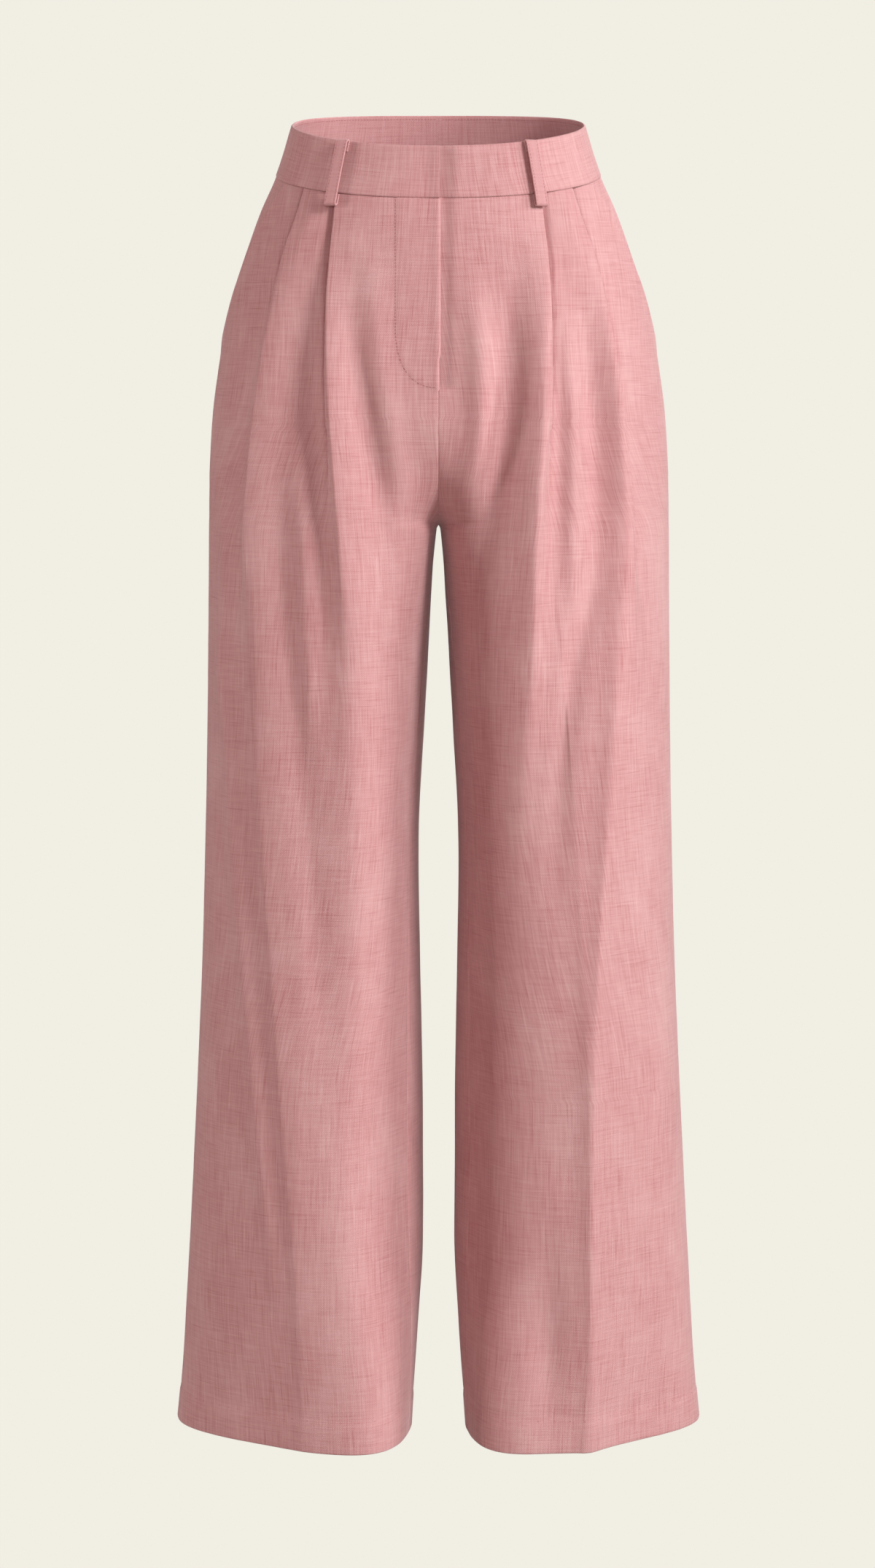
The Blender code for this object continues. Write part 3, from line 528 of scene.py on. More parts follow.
FOLDS = (
    Fold("pleat ridge", Face.FRONT, Side.RIGHT, 0.023, 0.008, (
        (0.03, 0.0865, 0.0), (0.07, 0.087, 0.0026), (0.1, 0.0875, 0.0054), (0.15, 0.0868, 0.0094),
        (0.2, 0.0852, 0.0122), (0.25, 0.083, 0.0124), (0.3, 0.0805, 0.0092), (0.35, 0.078, 0.0044),
        (0.4, 0.076, 0.0),
    ), 1.35),
    Fold("thigh ridge", Face.FRONT, Side.RIGHT, 0.024, 0.016, (
        (0.24, 0.08, 0.0), (0.3, 0.078, 0.0034), (0.35, 0.0745, 0.0074), (0.4, 0.0735, 0.0086),
        (0.5, 0.07, 0.0068), (0.62, 0.066, 0.0044), (0.8, 0.06, 0.0),
    )),
    Fold("trough beside the pleat", Face.FRONT, Side.RIGHT, 0.0125, 0.0125, (
        (0.05, 0.069, 0.0), (0.1, 0.068, -0.0032), (0.15, 0.065, -0.0072), (0.2, 0.059, -0.0074),
        (0.25, 0.052, -0.0046), (0.3, 0.044, -0.0028), (0.36, 0.039, 0.0),
    )),
    Fold("ridge beside the fly", Face.FRONT, Side.RIGHT, 0.011, 0.011, (
        (0.05, 0.056, 0.0), (0.1, 0.0542, 0.002), (0.15, 0.05, 0.003), (0.2, 0.0413, 0.0026),
        (0.25, 0.033, 0.0022), (0.3, 0.023, 0.0),
    )),
    Fold("valley behind the pleat", Face.FRONT, Side.RIGHT, 0.012, 0.018, (
        (0.06, 0.103, 0.0), (0.1, 0.105, -0.0012), (0.15, 0.108, -0.0026), (0.2, 0.106, -0.0026),
        (0.25, 0.101, -0.0022), (0.3, 0.099, -0.003), (0.35, 0.099, -0.003), (0.43, 0.097, 0.0),
    )),
    Fold("pleat end", Face.FRONT, Side.RIGHT, 0.011, 0.013, (
        (0.2, 0.112, 0.0), (0.25, 0.1116, 0.004), (0.3, 0.108, 0.0066), (0.35, 0.1068, 0.0066),
        (0.4, 0.1056, 0.0048), (0.48, 0.105, 0.0),
    ), 1.7),
    Fold("outer pleat ridge", Face.FRONT, Side.RIGHT, 0.02, 0.0085, (
        (0.04, 0.119, 0.0), (0.07, 0.124, 0.0024), (0.1, 0.129, 0.0056), (0.15, 0.137, 0.009),
        (0.2, 0.144, 0.01), (0.25, 0.15, 0.009), (0.3, 0.154, 0.0074), (0.35, 0.1505, 0.0058),
        (0.4, 0.1483, 0.0054), (0.5, 0.1454, 0.0058), (0.62, 0.1375, 0.0058), (0.75, 0.129, 0.0056),
        (0.87, 0.12, 0.004), (0.99, 0.1125, 0.0016), (1.07, 0.112, 0.0),
    ), 1.5),
    Fold("trough over the thigh", Face.FRONT, Side.RIGHT, 0.014, 0.012, (
        (0.2, 0.13, 0.0), (0.25, 0.129, -0.0026), (0.3, 0.129, -0.005), (0.35, 0.127, -0.0056),
        (0.4, 0.123, -0.0056), (0.5, 0.112, -0.0052), (0.62, 0.102, -0.0034), (0.75, 0.09, -0.0012),
        (0.85, 0.085, 0.0),
    )),
    Fold("outer ridge", Face.FRONT, Side.RIGHT, 0.01, 0.008, (
        (0.37, 0.179, 0.0), (0.43, 0.176, 0.0034), (0.5, 0.171, 0.0048), (0.62, 0.163, 0.0042),
        (0.75, 0.1525, 0.0034), (0.87, 0.141, 0.0022), (0.97, 0.13, 0.0),
    ), 1.8),
    Fold("side ripple", Face.FRONT, Side.RIGHT, 0.007, 0.006, (
        (0.27, 0.179, 0.0), (0.34, 0.178, 0.003), (0.4, 0.179, 0.0034), (0.46, 0.18, 0.0),
    )),
    Fold("ridge beside the fly", Face.FRONT, Side.LEFT, 0.0105, 0.012, (
        (0.05, 0.027, 0.0), (0.1, 0.0283, 0.0028), (0.15, 0.0333, 0.0074), (0.2, 0.0339, 0.0096),
        (0.25, 0.0283, 0.0064), (0.29, 0.022, 0.0),
    )),
    Fold("trough beside the pleat", Face.FRONT, Side.LEFT, 0.014, 0.014, (
        (0.06, 0.061, 0.0), (0.1, 0.061, -0.0024), (0.15, 0.0605, -0.0066), (0.2, 0.0555, -0.0084),
        (0.25, 0.047, -0.0084), (0.3, 0.037, -0.0058), (0.35, 0.028, -0.003), (0.4, 0.025, 0.0),
    )),
    Fold("pleat ridge", Face.FRONT, Side.LEFT, 0.0165, 0.0095, (
        (0.03, 0.0845, 0.0), (0.06, 0.0845, 0.003), (0.1, 0.084, 0.0074), (0.15, 0.0825, 0.0124),
        (0.2, 0.0818, 0.0162), (0.25, 0.0802, 0.0176), (0.3, 0.079, 0.0158), (0.35, 0.0785, 0.0126),
        (0.4, 0.077, 0.0086), (0.5, 0.069, 0.0046), (0.62, 0.065, 0.0),
    ), 1.7),
    Fold("ridge between the pleats", Face.FRONT, Side.LEFT, 0.007, 0.012, (
        (0.08, 0.102, 0.0), (0.11, 0.1025, 0.002), (0.15, 0.104, 0.0046), (0.2, 0.106, 0.0078),
        (0.25, 0.1072, 0.0082), (0.3, 0.1075, 0.0052), (0.36, 0.11, 0.0),
    ), 1.6),
    Fold("trough over the thigh", Face.FRONT, Side.LEFT, 0.013, 0.011, (
        (0.08, 0.121, 0.0), (0.15, 0.1235, -0.0036), (0.2, 0.1275, -0.006), (0.25, 0.13, -0.006),
        (0.3, 0.131, -0.0054), (0.35, 0.126, -0.0062), (0.4, 0.112, -0.0056), (0.5, 0.101, -0.0046),
        (0.62, 0.095, 0.0),
    )),
    Fold("outer pleat ridge", Face.FRONT, Side.LEFT, 0.0095, 0.022, (
        (0.04, 0.12, 0.0), (0.07, 0.1245, 0.0026), (0.1, 0.129, 0.0056), (0.15, 0.1362, 0.0092),
        (0.2, 0.1412, 0.0112), (0.25, 0.1445, 0.0112), (0.3, 0.1475, 0.0096), (0.35, 0.1455, 0.0096),
        (0.4, 0.142, 0.01), (0.5, 0.1365, 0.01), (0.62, 0.129, 0.009), (0.75, 0.1245, 0.0076),
        (0.87, 0.1245, 0.0068), (0.99, 0.1245, 0.007), (1.07, 0.1245, 0.0056),
    ), 1.3),
    Fold("dent over the hem", Face.FRONT, Side.LEFT, 0.022, 0.011, (
        (0.84, 0.088, 0.0), (0.91, 0.092, -0.0044), (0.965, 0.094, -0.0082), (1.02, 0.093, -0.0044),
        (1.07, 0.092, 0.0),
    )),
    Fold("seat fold", Face.BACK, Side.LEFT, 0.018, 0.018, (
        (0.2, 0.05, 0.0), (0.3, 0.058, -0.005), (0.4, 0.072, -0.0046), (0.52, 0.088, 0.0),
    )),
    Fold("seat fold", Face.BACK, Side.RIGHT, 0.02, 0.02, (
        (0.21, 0.046, 0.0), (0.31, 0.056, -0.0054), (0.42, 0.074, -0.0044), (0.54, 0.09, 0.0),
    )),
    Fold("ridge over the thigh", Face.BACK, Side.LEFT, 0.016, 0.018, (
        (0.26, 0.138, 0.0), (0.38, 0.132, 0.0044), (0.52, 0.125, 0.0044), (0.7, 0.118, 0.0),
    )),
    Fold("ridge over the thigh", Face.BACK, Side.RIGHT, 0.017, 0.017, (
        (0.28, 0.136, 0.0), (0.4, 0.129, 0.0048), (0.56, 0.123, 0.004), (0.72, 0.118, 0.0),
    )),
    Fold("trough down the calf", Face.BACK, Side.LEFT, 0.019, 0.016, (
        (0.48, 0.084, 0.0), (0.62, 0.092, -0.0046), (0.82, 0.105, -0.0044), (1.0, 0.118, 0.0),
    )),
    Fold("trough down the calf", Face.BACK, Side.RIGHT, 0.021, 0.017, (
        (0.45, 0.09, 0.0), (0.6, 0.095, -0.005), (0.78, 0.102, -0.0044), (0.96, 0.112, 0.0),
    )),
)


@dataclass(frozen=True)
class Drape:
    """The soft folds, the hand-made unevenness of the cloth and the puckers along its seams."""

    folds: tuple[Fold, ...] = FOLDS
    wave_height: float = 0.00045
    wave_across: float = 0.034
    wave_down: float = 0.140
    ripple_height: float = 0.00016
    ripple_across: float = 0.011
    ripple_down: float = 0.032
    calm_edge: float = 0.018
    pucker_height: float = 0.00022
    pucker_width: float = 0.007
    pucker_pitch: float = 0.013

    def relief(self, face: Face, side: Side, drop: Array, x: Array) -> Array:
        """Relief of the soft folds at each drop and distance from the middle."""
        total = np.zeros_like(drop)
        for fold in self.folds:
            if fold.face is face and fold.side is side:
                total += fold.relief(drop, x)
        return total

    def unevenness(self, distance: Array, drop: Array, to_edge: Array, seed: int) -> Array:
        """Waves and ripples of lived-in cloth, which fade out towards the seams."""
        waves = value_noise(distance / self.wave_across, drop / self.wave_down, seed)
        ripples = value_noise(distance / self.ripple_across, drop / self.ripple_down, seed + 1)
        calm = smooth_step(to_edge / self.calm_edge)
        return calm * (self.wave_height * waves + self.ripple_height * ripples)

    def pucker(self, from_seam: Array, along: Array, seed: int) -> Array:
        """Puckers that a line of stitching draws into the cloth on both sides of it."""
        pull = value_noise(along / self.pucker_pitch, np.full_like(along, 0.5), seed)
        return self.pucker_height * pull * bump_of(from_seam, self.pucker_width)


@dataclass(frozen=True)
class SeamEdge:
    """How a panel's edge rolls under at a seam: a rounded corner, then a tail that goes straight in."""

    roll: float = 0.0014
    shares: tuple[float, ...] = (0.33, 0.67, 1.0)
    tail: float = 0.0026
    short_tail: float = 0.0003

    @property
    def count(self) -> int:
        """Number of columns it adds."""
        return len(self.shares) + 1

    def columns(self, last: Array, corner: Array, way: Array, tail: Array) -> list[Array]:
        """Places past the last plain column.

        Args:
            last: (rows, 2) places of the last plain column.
            corner: (rows, 2) places where the cloth would end if it didn't roll.
            way: (rows, 2) unit directions that the tail takes.
            tail: Length of the tail at each row.

        Returns:
            One array of places for each added column, outwards from the plain cloth.
        """
        turned = corner + way * self.roll
        places = [
            last * (1 - share) ** 2 + corner * 2 * share * (1 - share) + turned * share**2
            for share in self.shares
        ]
        return places + [turned + way * tail[:, None]]


class Meshes:
    """Ways to make, finish and hand over the pieces."""

    @staticmethod
    def from_grid(name: str, points: Array, uv: Array, flip: bool, closed: bool = False) -> bpy.types.Object:
        """Makes a sheet from a grid of points.

        Args:
            name: The piece's name.
            points: (rows, columns, 3) places.
            uv: (rows, columns, 2) places on the flat cloth, in metres.
            flip: Turns the faces round, so that they point outwards.
            closed: Joins the last column to the first.

        Returns:
            The new object.
        """
        rows, columns = points.shape[:2]
        row, column = np.meshgrid(np.arange(rows - 1), np.arange(columns - (not closed)), indexing="ij")
        after = (column + 1) % columns
        corners = [row * columns + column, row * columns + after]
        corners += [(row + 1) * columns + after, (row + 1) * columns + column]
        faces = np.stack(corners, axis=-1).reshape(-1, 4)
        if flip:
            faces = faces[:, ::-1]
        mesh = bpy.data.meshes.new(name)
        mesh.from_pydata(points.reshape(-1, 3).tolist(), [], faces.tolist())
        layer = mesh.uv_layers.new(name="cloth")
        loops = np.empty(len(mesh.loops), np.int32)
        mesh.loops.foreach_get("vertex_index", loops)
        layer.data.foreach_set("uv", uv.reshape(-1, 2)[loops].astype(np.float32).ravel())
        piece = bpy.data.objects.new(name, mesh)
        bpy.context.scene.collection.objects.link(piece)
        return piece

    @staticmethod
    def select_only(piece: bpy.types.Object) -> None:
        """Makes one object the only selected one, and active."""
        bpy.ops.object.select_all(action="DESELECT")
        piece.select_set(True)
        bpy.context.view_layer.objects.active = piece

    @classmethod
    def thicken(cls, piece: bpy.types.Object, thickness: float, *finishes: bpy.types.Material) -> None:
        """Gives a sheet its finishes, its thickness, half on each side, and smooth shading.

        Args:
            piece: The sheet.
            thickness: The cloth's thickness.
            *finishes: Its right side's material, and its wrong side's if that differs.
        """
        for finish in finishes:
            piece.data.materials.append(finish)
        cls.select_only(piece)
        wall = piece.modifiers.new("cloth", "SOLIDIFY")
        wall.thickness = thickness
        wall.offset = 0.0
        wall.material_offset = len(finishes) - 1
        bpy.ops.object.modifier_apply(modifier=wall.name)
        bpy.ops.object.shade_smooth_by_angle(angle=SMOOTH_ANGLE)

    @staticmethod
    def hand_over(piece: bpy.types.Object, slot: Slot, *nodes: str) -> None:
        """Lets a piece ride on the trousers' body, in place of its frame pieces."""
        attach(piece, BODY)
        if nodes:
            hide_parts(*nodes)
        LOG.info("%s: %d faces", piece.name, len(piece.data.polygons))


class NodeDesk:
    """Adds shader nodes to one tree and links them as it goes."""

    def __init__(self, tree: bpy.types.NodeTree) -> None:
        """Takes the tree to work on."""
        self.tree = tree

    def add(self, kind: str, inputs: dict[Any, Any] | None = None, **settings: Any) -> bpy.types.Node:
        """Adds a node.

        Args:
            kind: The node's type.
            inputs: Values or sockets for its inputs, by name or number.
            **settings: Properties of the node.

        Returns:
            The node.
        """
        node = self.tree.nodes.new(kind)
        for name, value in settings.items():
            setattr(node, name, value)
        for key, value in (inputs or {}).items():
            if isinstance(value, bpy.types.NodeSocket):
                self.tree.links.new(value, node.inputs[key])
            else:
                node.inputs[key].default_value = value
        return node

    def math(self, operation: str, first: Any, second: Any = 0.0) -> bpy.types.NodeSocket:
        """One sum of two values."""
        return self.add("ShaderNodeMath", {0: first, 1: second}, operation=operation).outputs[0]

    def total(self, first: Any, *others: Any) -> Any:
        """Sum of several values."""
        for other in others:
            first = self.math("ADD", first, other)
        return first

    def noise(self, place: Any, stretch: tuple[float, float, float], detail: float = 2.0) -> Any:
        """Noise whose cells are 1 / stretch metres on each axis."""
        moved = self.add("ShaderNodeMapping", {"Vector": place, "Scale": stretch})
        inputs = {"Vector": moved.outputs[0], "Scale": 1.0, "Detail": detail, "Roughness": 0.55}
        return self.add("ShaderNodeTexNoise", inputs).outputs[0]

    def spread(self, value: Any, low: float, high: float, to_low: float, to_high: float) -> Any:
        """Maps one range onto another, clamped."""
        inputs = {0: value, 1: low, 2: high, 3: to_low, 4: to_high}
        return self.add("ShaderNodeMapRange", inputs).outputs[0]

    def mix(self, factor: Any, first: Any, second: Any) -> Any:
        """Mixes two colours."""
        node = self.add("ShaderNodeMix", {0: factor, 6: first, 7: second}, data_type="RGBA")
        return node.outputs[2]


@dataclass(frozen=True)
class TwillWeave:
    """The slubbed twill that every cloth finish shares, as one node group over the flat cloth in metres.

    Each cell size is the number of noise cells to the metre across and down the cloth.
    """

    name: str = "slubbed_twill"
    twill_pitch: float = 0.0016
    twill_slant: float = 0.90
    wander: float = 1.3
    stagger: float = 0.16
    weft_drift_cells: tuple[float, float, float] = (3.0, 290.0, 1.0)
    warp_drift_cells: tuple[float, float, float] = (310.0, 3.0, 1.0)
    warp_cells: tuple[float, float, float] = (1250.0, 26.0, 1.0)
    weft_cells: tuple[float, float, float] = (30.0, 1300.0, 1.0)
    warp_slub_cells: tuple[float, float, float] = (580.0, 24.0, 1.0)
    weft_slub_cells: tuple[float, float, float] = (26.0, 720.0, 1.0)
    cloud_cells: tuple[float, float, float] = (16.0, 11.0, 1.0)
    grain_cells: tuple[float, float, float] = (1500.0, 1500.0, 1.0)

    def build(self) -> bpy.types.NodeTree:
        """Makes the node group.

        Returns:
            A group that takes a place on the cloth and three yarn colours, and gives a colour and a height.
        """
        group = bpy.data.node_groups.new(self.name, "ShaderNodeTree")
        sockets = (
            ("Cloth Place", "INPUT", "NodeSocketVector"),
            ("Yarn", "INPUT", "NodeSocketColor"),
            ("Pale Yarn", "INPUT", "NodeSocketColor"),
            ("Deep Yarn", "INPUT", "NodeSocketColor"),
            ("Slub Amount", "INPUT", "NodeSocketFloat"),
            ("Color", "OUTPUT", "NodeSocketColor"),
            ("Height", "OUTPUT", "NodeSocketFloat"),
            ("Roughness", "OUTPUT", "NodeSocketFloat"),
        )
        for name, way, kind in sockets:
            group.interface.new_socket(name, in_out=way, socket_type=kind)
        desk = NodeDesk(group)
        given = desk.add("NodeGroupInput").outputs
        place, amount = given["Cloth Place"], given["Slub Amount"]
        parts = desk.add("ShaderNodeSeparateXYZ", {0: place}).outputs
        drifts = [
            desk.math("MULTIPLY", desk.noise(place, cells), self.stagger)
            for cells in (self.weft_drift_cells, self.warp_drift_cells)
        ]
        across, down = (desk.math("ADD", part, drift) for part, drift in zip(parts, drifts))
        warps = desk.add("ShaderNodeCombineXYZ", {0: parts[0], 1: down}).outputs[0]
        wefts = desk.add("ShaderNodeCombineXYZ", {0: across, 1: parts[1]}).outputs[0]
        warp = desk.noise(warps, self.warp_cells)
        weft = desk.noise(wefts, self.weft_cells)
        warp_slub = desk.noise(warps, self.warp_slub_cells, 1.0)
        weft_slub = desk.noise(wefts, self.weft_slub_cells, 1.0)
        cloud = desk.noise(place, self.cloud_cells, 3.0)
        grain = desk.noise(place, self.grain_cells, 1.0)
        twill = self._twill(desk, parts, grain)

        deep = desk.total(
            desk.spread(warp, 0.44, 0.72, 0.0, 0.36),
            desk.spread(weft, 0.44, 0.74, 0.0, 0.28),
            desk.spread(warp_slub, 0.58, 0.74, 0.0, 0.40),
            desk.spread(weft_slub, 0.58, 0.74, 0.0, 0.34),
            desk.spread(twill, 0.0, 1.0, 0.0, 0.22),
        )
        pale = desk.total(
            desk.spread(warp, 0.56, 0.28, 0.0, 0.26),
            desk.spread(weft, 0.56, 0.28, 0.0, 0.18),
            desk.spread(warp_slub, 0.36, 0.22, 0.0, 0.30),
            desk.spread(cloud, 0.55, 0.30, 0.0, 0.22),
        )
        mixed = desk.mix(desk.math("MULTIPLY", deep, amount), given["Yarn"], given["Deep Yarn"])
        mixed = desk.mix(desk.math("MULTIPLY", pale, amount), mixed, given["Pale Yarn"])
        height = desk.total(
            desk.math("MULTIPLY", twill, 0.5),
            desk.math("MULTIPLY", warp, 0.35),
            desk.math("MULTIPLY", weft, 0.30),
            desk.spread(warp_slub, 0.62, 0.80, 0.0, 0.5),
            desk.spread(weft_slub, 0.64, 0.82, 0.0, 0.5),
        )
        roughness = desk.spread(grain, 0.3, 0.7, 0.78, 0.92)
        desk.add("NodeGroupOutput", {"Color": mixed, "Height": height, "Roughness": roughness})
        return group

    def _twill(self, desk: NodeDesk, parts: Any, grain: Any) -> Any:
        """Diagonal ribs from 0 to 1, a little wandering."""
        turns = 2 * math.pi / self.twill_pitch
        slanted = desk.math("MULTIPLY", parts[1], turns * self.twill_slant)
        along = desk.math("SUBTRACT", desk.math("MULTIPLY", parts[0], turns), slanted)
        wandered = desk.math("ADD", along, desk.math("MULTIPLY", grain, self.wander * math.pi))
        return desk.spread(desk.math("SINE", wandered), -1.0, 1.0, 0.0, 1.0)


@dataclass(frozen=True)
class TwillFinish:
    """One finish of the twill: its yarn colours (linear), its slubs and its nap."""

    name: str
    yarn: tuple[float, float, float]
    pale: tuple[float, float, float]
    deep: tuple[float, float, float]
    slub_amount: float = 1.0
    bump_distance: float = 0.00022
    bump_strength: float = 0.55
    sheen: float = 0.29
    sheen_roughness: float = 0.45
    specular: float = 0.25

    def build(self, weave: bpy.types.NodeTree) -> bpy.types.Material:
        """Makes the material.

        Args:
            weave: The twill's node group.

        Returns:
            The material.
        """
        material = bpy.data.materials.new(self.name)
        material.use_nodes = True
        desk = NodeDesk(material.node_tree)
        shader = material.node_tree.nodes["Principled BSDF"]
        place = desk.add("ShaderNodeUVMap", uv_map="cloth").outputs[0]
        cloth = desk.add("ShaderNodeGroup", node_tree=weave)
        material.node_tree.links.new(place, cloth.inputs["Cloth Place"])
        for socket, colour in (("Yarn", self.yarn), ("Pale Yarn", self.pale), ("Deep Yarn", self.deep)):
            cloth.inputs[socket].default_value = (*colour, 1.0)
        cloth.inputs["Slub Amount"].default_value = self.slub_amount
        height = cloth.outputs["Height"]
        inputs = {"Height": height, "Distance": self.bump_distance, "Strength": self.bump_strength}
        bump = desk.add("ShaderNodeBump", inputs)
        for socket, source in (
            ("Base Color", cloth.outputs["Color"]),
            ("Roughness", cloth.outputs["Roughness"]),
            ("Normal", bump.outputs[0]),
        ):
            material.node_tree.links.new(source, shader.inputs[socket])
        shader.inputs["Sheen Weight"].default_value = self.sheen
        shader.inputs["Sheen Roughness"].default_value = self.sheen_roughness
        shader.inputs["Specular IOR Level"].default_value = self.specular
        return material


@dataclass(frozen=True)
class ThreadFinish:
    """Matched sewing thread: two plied shades."""

    name: str = "matched_thread"
    light: tuple[float, float, float] = (0.50, 0.18, 0.19)
    dark: tuple[float, float, float] = (0.34, 0.10, 0.11)
    ply: float = 3500.0

    def build(self) -> bpy.types.Material:
        """Makes the material."""
        material = bpy.data.materials.new(self.name)
        material.use_nodes = True
        desk = NodeDesk(material.node_tree)
        shader = material.node_tree.nodes["Principled BSDF"]
        place = desk.add("ShaderNodeTexCoord").outputs["Object"]
        ply = desk.noise(place, (self.ply, self.ply, self.ply), 1.0)
        shade = desk.mix(desk.spread(ply, 0.35, 0.65, 0.0, 1.0), (*self.dark, 1.0), (*self.light, 1.0))
        material.node_tree.links.new(shade, shader.inputs["Base Color"])
        rough = desk.spread(ply, 0.3, 0.7, 0.55, 0.75)
        material.node_tree.links.new(rough, shader.inputs["Roughness"])
        return material


@dataclass
class Finishes:
    """All the trousers' finishes."""

    right_side: TwillFinish = TwillFinish(
        "pink_twill", (0.60, 0.308, 0.310), (0.74, 0.49, 0.48), (0.43, 0.160, 0.162)
    )
    wrong_side: TwillFinish = TwillFinish(
        "pink_twill_inside", (0.54, 0.265, 0.268), (0.64, 0.38, 0.38), (0.38, 0.140, 0.145), 0.9
    )
    strap: TwillFinish = TwillFinish(
        "pink_twill_strap", (0.60, 0.308, 0.310), (0.70, 0.43, 0.43), (0.46, 0.19, 0.195), 0.7
    )
    thread: ThreadFinish = ThreadFinish()

    def build(self) -> dict[str, bpy.types.Material]:
        """Makes every material, by a short name."""
        weave = TwillWeave().build()
        return {
            "outside": self.right_side.build(weave),
            "inside": self.wrong_side.build(weave),
            "strap": self.strap.build(weave),
            "thread": self.thread.build(),
        }


Materials = dict[str, bpy.types.Material]


@dataclass
class Panel:
    """What a front and a back share: their rows, their hem and how their points become cloth."""

    side: Side
    pattern: Pattern
    drape: Drape
    cloth: float = 0.0009
    hem_turn_up: float = 0.027
    hem_fold: float = 0.0011
    hem_angle_step: float = 20.0
    hem_ridge: float = 0.00050
    hem_dimple: float = 0.00040
    hem_line_width: float = 0.0018
    upper_pitch: float = 0.003
    lower_pitch: float = 0.0045
    pitch_change: float = 0.35
    fly_drop: float = 0.176
    fly_lap: float = 0.0010
    fly_lap_drop: float = 0.151
    seam_half_gap: float = 0.0002
    seam_lean: float = 0.25
    side_seam_seed: int = 5
    inner_seam_seed: int = 7
    waist_seed_step: int = 3
    waist_pull: float = 0.7
    hem_rows: int = 8
    edge: SeamEdge = SeamEdge()

    face = Face.FRONT
    grain_start = (0.0, 0.0)
    seed = 0
    flat = (0.4, 1.1)
    flat_area = 0.38

    def rows(self) -> tuple[Array, Array]:
        """Drops and inward moves of every row: the rolled top, the leg, the hem's fold and its turn-up."""
        angles = np.radians((90, 60, 30))
        roll = self.edge.roll
        rows = [(0.0, roll + self.edge.tail)]
        rows += [(roll * (1 - math.sin(angle)), roll * (1 - math.cos(angle))) for angle in angles]
        fold_start = self.pattern.hem_drop - self.cloth / 2 - self.hem_fold
        rows += [(drop, 0.0) for drop in np.arange(self.edge.roll, self.pitch_change, self.upper_pitch)]
        count = math.ceil((fold_start - self.pitch_change) / self.lower_pitch)
        rows += [(drop, 0.0) for drop in np.linspace(self.pitch_change, fold_start, count)]
        for angle in np.arange(self.hem_angle_step, 180.1, self.hem_angle_step):
            angle = math.radians(angle)
            down = fold_start + self.hem_fold * math.sin(angle)
            rows.append((down, self.hem_fold * (1 - math.cos(angle))))
        turned_to = self.pattern.hem_drop - self.hem_turn_up
        for drop in np.linspace(fold_start, turned_to, self.hem_rows)[1:]:
            rows.append((drop, 2 * self.hem_fold))
        drops, inward = np.array(rows).T
        return drops, inward

    def places(self, level: Section, drop: Array) -> tuple[Array, Array]:
        """Distances and reliefs of every plain column at each row, as (rows, columns) arrays."""
        raise NotImplementedError

    def seams(self, level: Section, drop: Array) -> tuple[Array, Array, Array, Array]:
        """Distances of the first and last edges, and the lengths of their tails, at each row."""
        raise NotImplementedError

    def extra_relief(self, level: Section, drop: Array, distance: Array, x: Array) -> Array:
        """Relief of the puckers and pressed lines at flat arrays of points."""
        raise NotImplementedError

    def hem_relief(self, drop: Array) -> Array:
        """The turned-up hem stands a little proud below its blind-stitched line."""
        line = self.pattern.hem_drop - self.hem_turn_up
        proud = self.hem_ridge * smooth_step((drop - line) / self.hem_line_width + 0.5)
        return proud - self.hem_dimple * bump_of(drop - line, self.hem_line_width)

    def _edge_columns(
        self, column: int, spots: Array, height: Array, relief: Array, drop: Array
    ) -> list[Array]:
        """Places of the rolled columns beyond the first (0) or the last (-1) plain column.

        Args:
            column: 0 or -1.
            spots: (rows, columns, 2) places of the plain cloth.
            height: (rows, columns) heights.
            relief: (rows, columns) reliefs.
            drop: Drop of each row.

        Returns:
            One array of places for each added column.
        """
        level = self.pattern.section(self.face, self.side, -height[:, column])
        first, last, first_tail, last_tail = self.seams(level, drop)
        distance, tail = (first, first_tail) if column == 0 else (last, last_tail)
        plain = level.place(distance, 0.0)
        out = level.place(distance, 1.0) - plain
        way = -out
        if (self.face is Face.FRONT) == (column == 0):
            centre = (drop < self.pattern.crotch_drop)[:, None]
            inwards = np.array((-self.seam_lean, 1.0 if self.face is Face.FRONT else -1.0))
            way = np.where(centre, inwards / np.linalg.norm(inwards), way)
        corner = plain + out * relief[:, column, None]
        return self.edge.columns(spots[:, column], corner, way, tail)

    def build(self) -> bpy.types.Object:
        """Cuts and drapes the panel.

        Returns:
            The piece, without its thickness.
        """
        drops, inward = self.rows()
        drop = np.repeat(drops[:, None], self.plain_columns, axis=1)
        level, distance, relief, height = self.pattern.hang(self.face, self.side, drop, self.places)
        flat_drop = drop.ravel()
        x = level.place(distance, 0.0)[:, 0]
        relief += self.drape.relief(self.face, self.side, flat_drop, x)
        relief += self.extra_relief(level, flat_drop, distance, x)
        relief += self.hem_relief(flat_drop) - np.repeat(inward, self.plain_columns)
        spots = level.place(distance, relief).reshape(*drop.shape, 2)
        relief = relief.reshape(drop.shape)
        before = self._edge_columns(0, spots, height, relief, drops)[::-1]
        after = self._edge_columns(-1, spots, height, relief, drops)
        spots = np.concatenate((np.stack(before, 1), spots, np.stack(after, 1)), axis=1)
        extra = self.edge.count
        height = np.pad(height, ((0, 0), (extra, extra)), mode="edge")
        points = np.concatenate((spots, height[:, :, None]), axis=2) * (self.side.value, 1, 1)
        name = f"{self.face.value}_panel_{self.side.word}"
        flip = self.side is Side.LEFT
        return Meshes.from_grid(name, points, self.grain(points, extra + self.crease_column), flip)

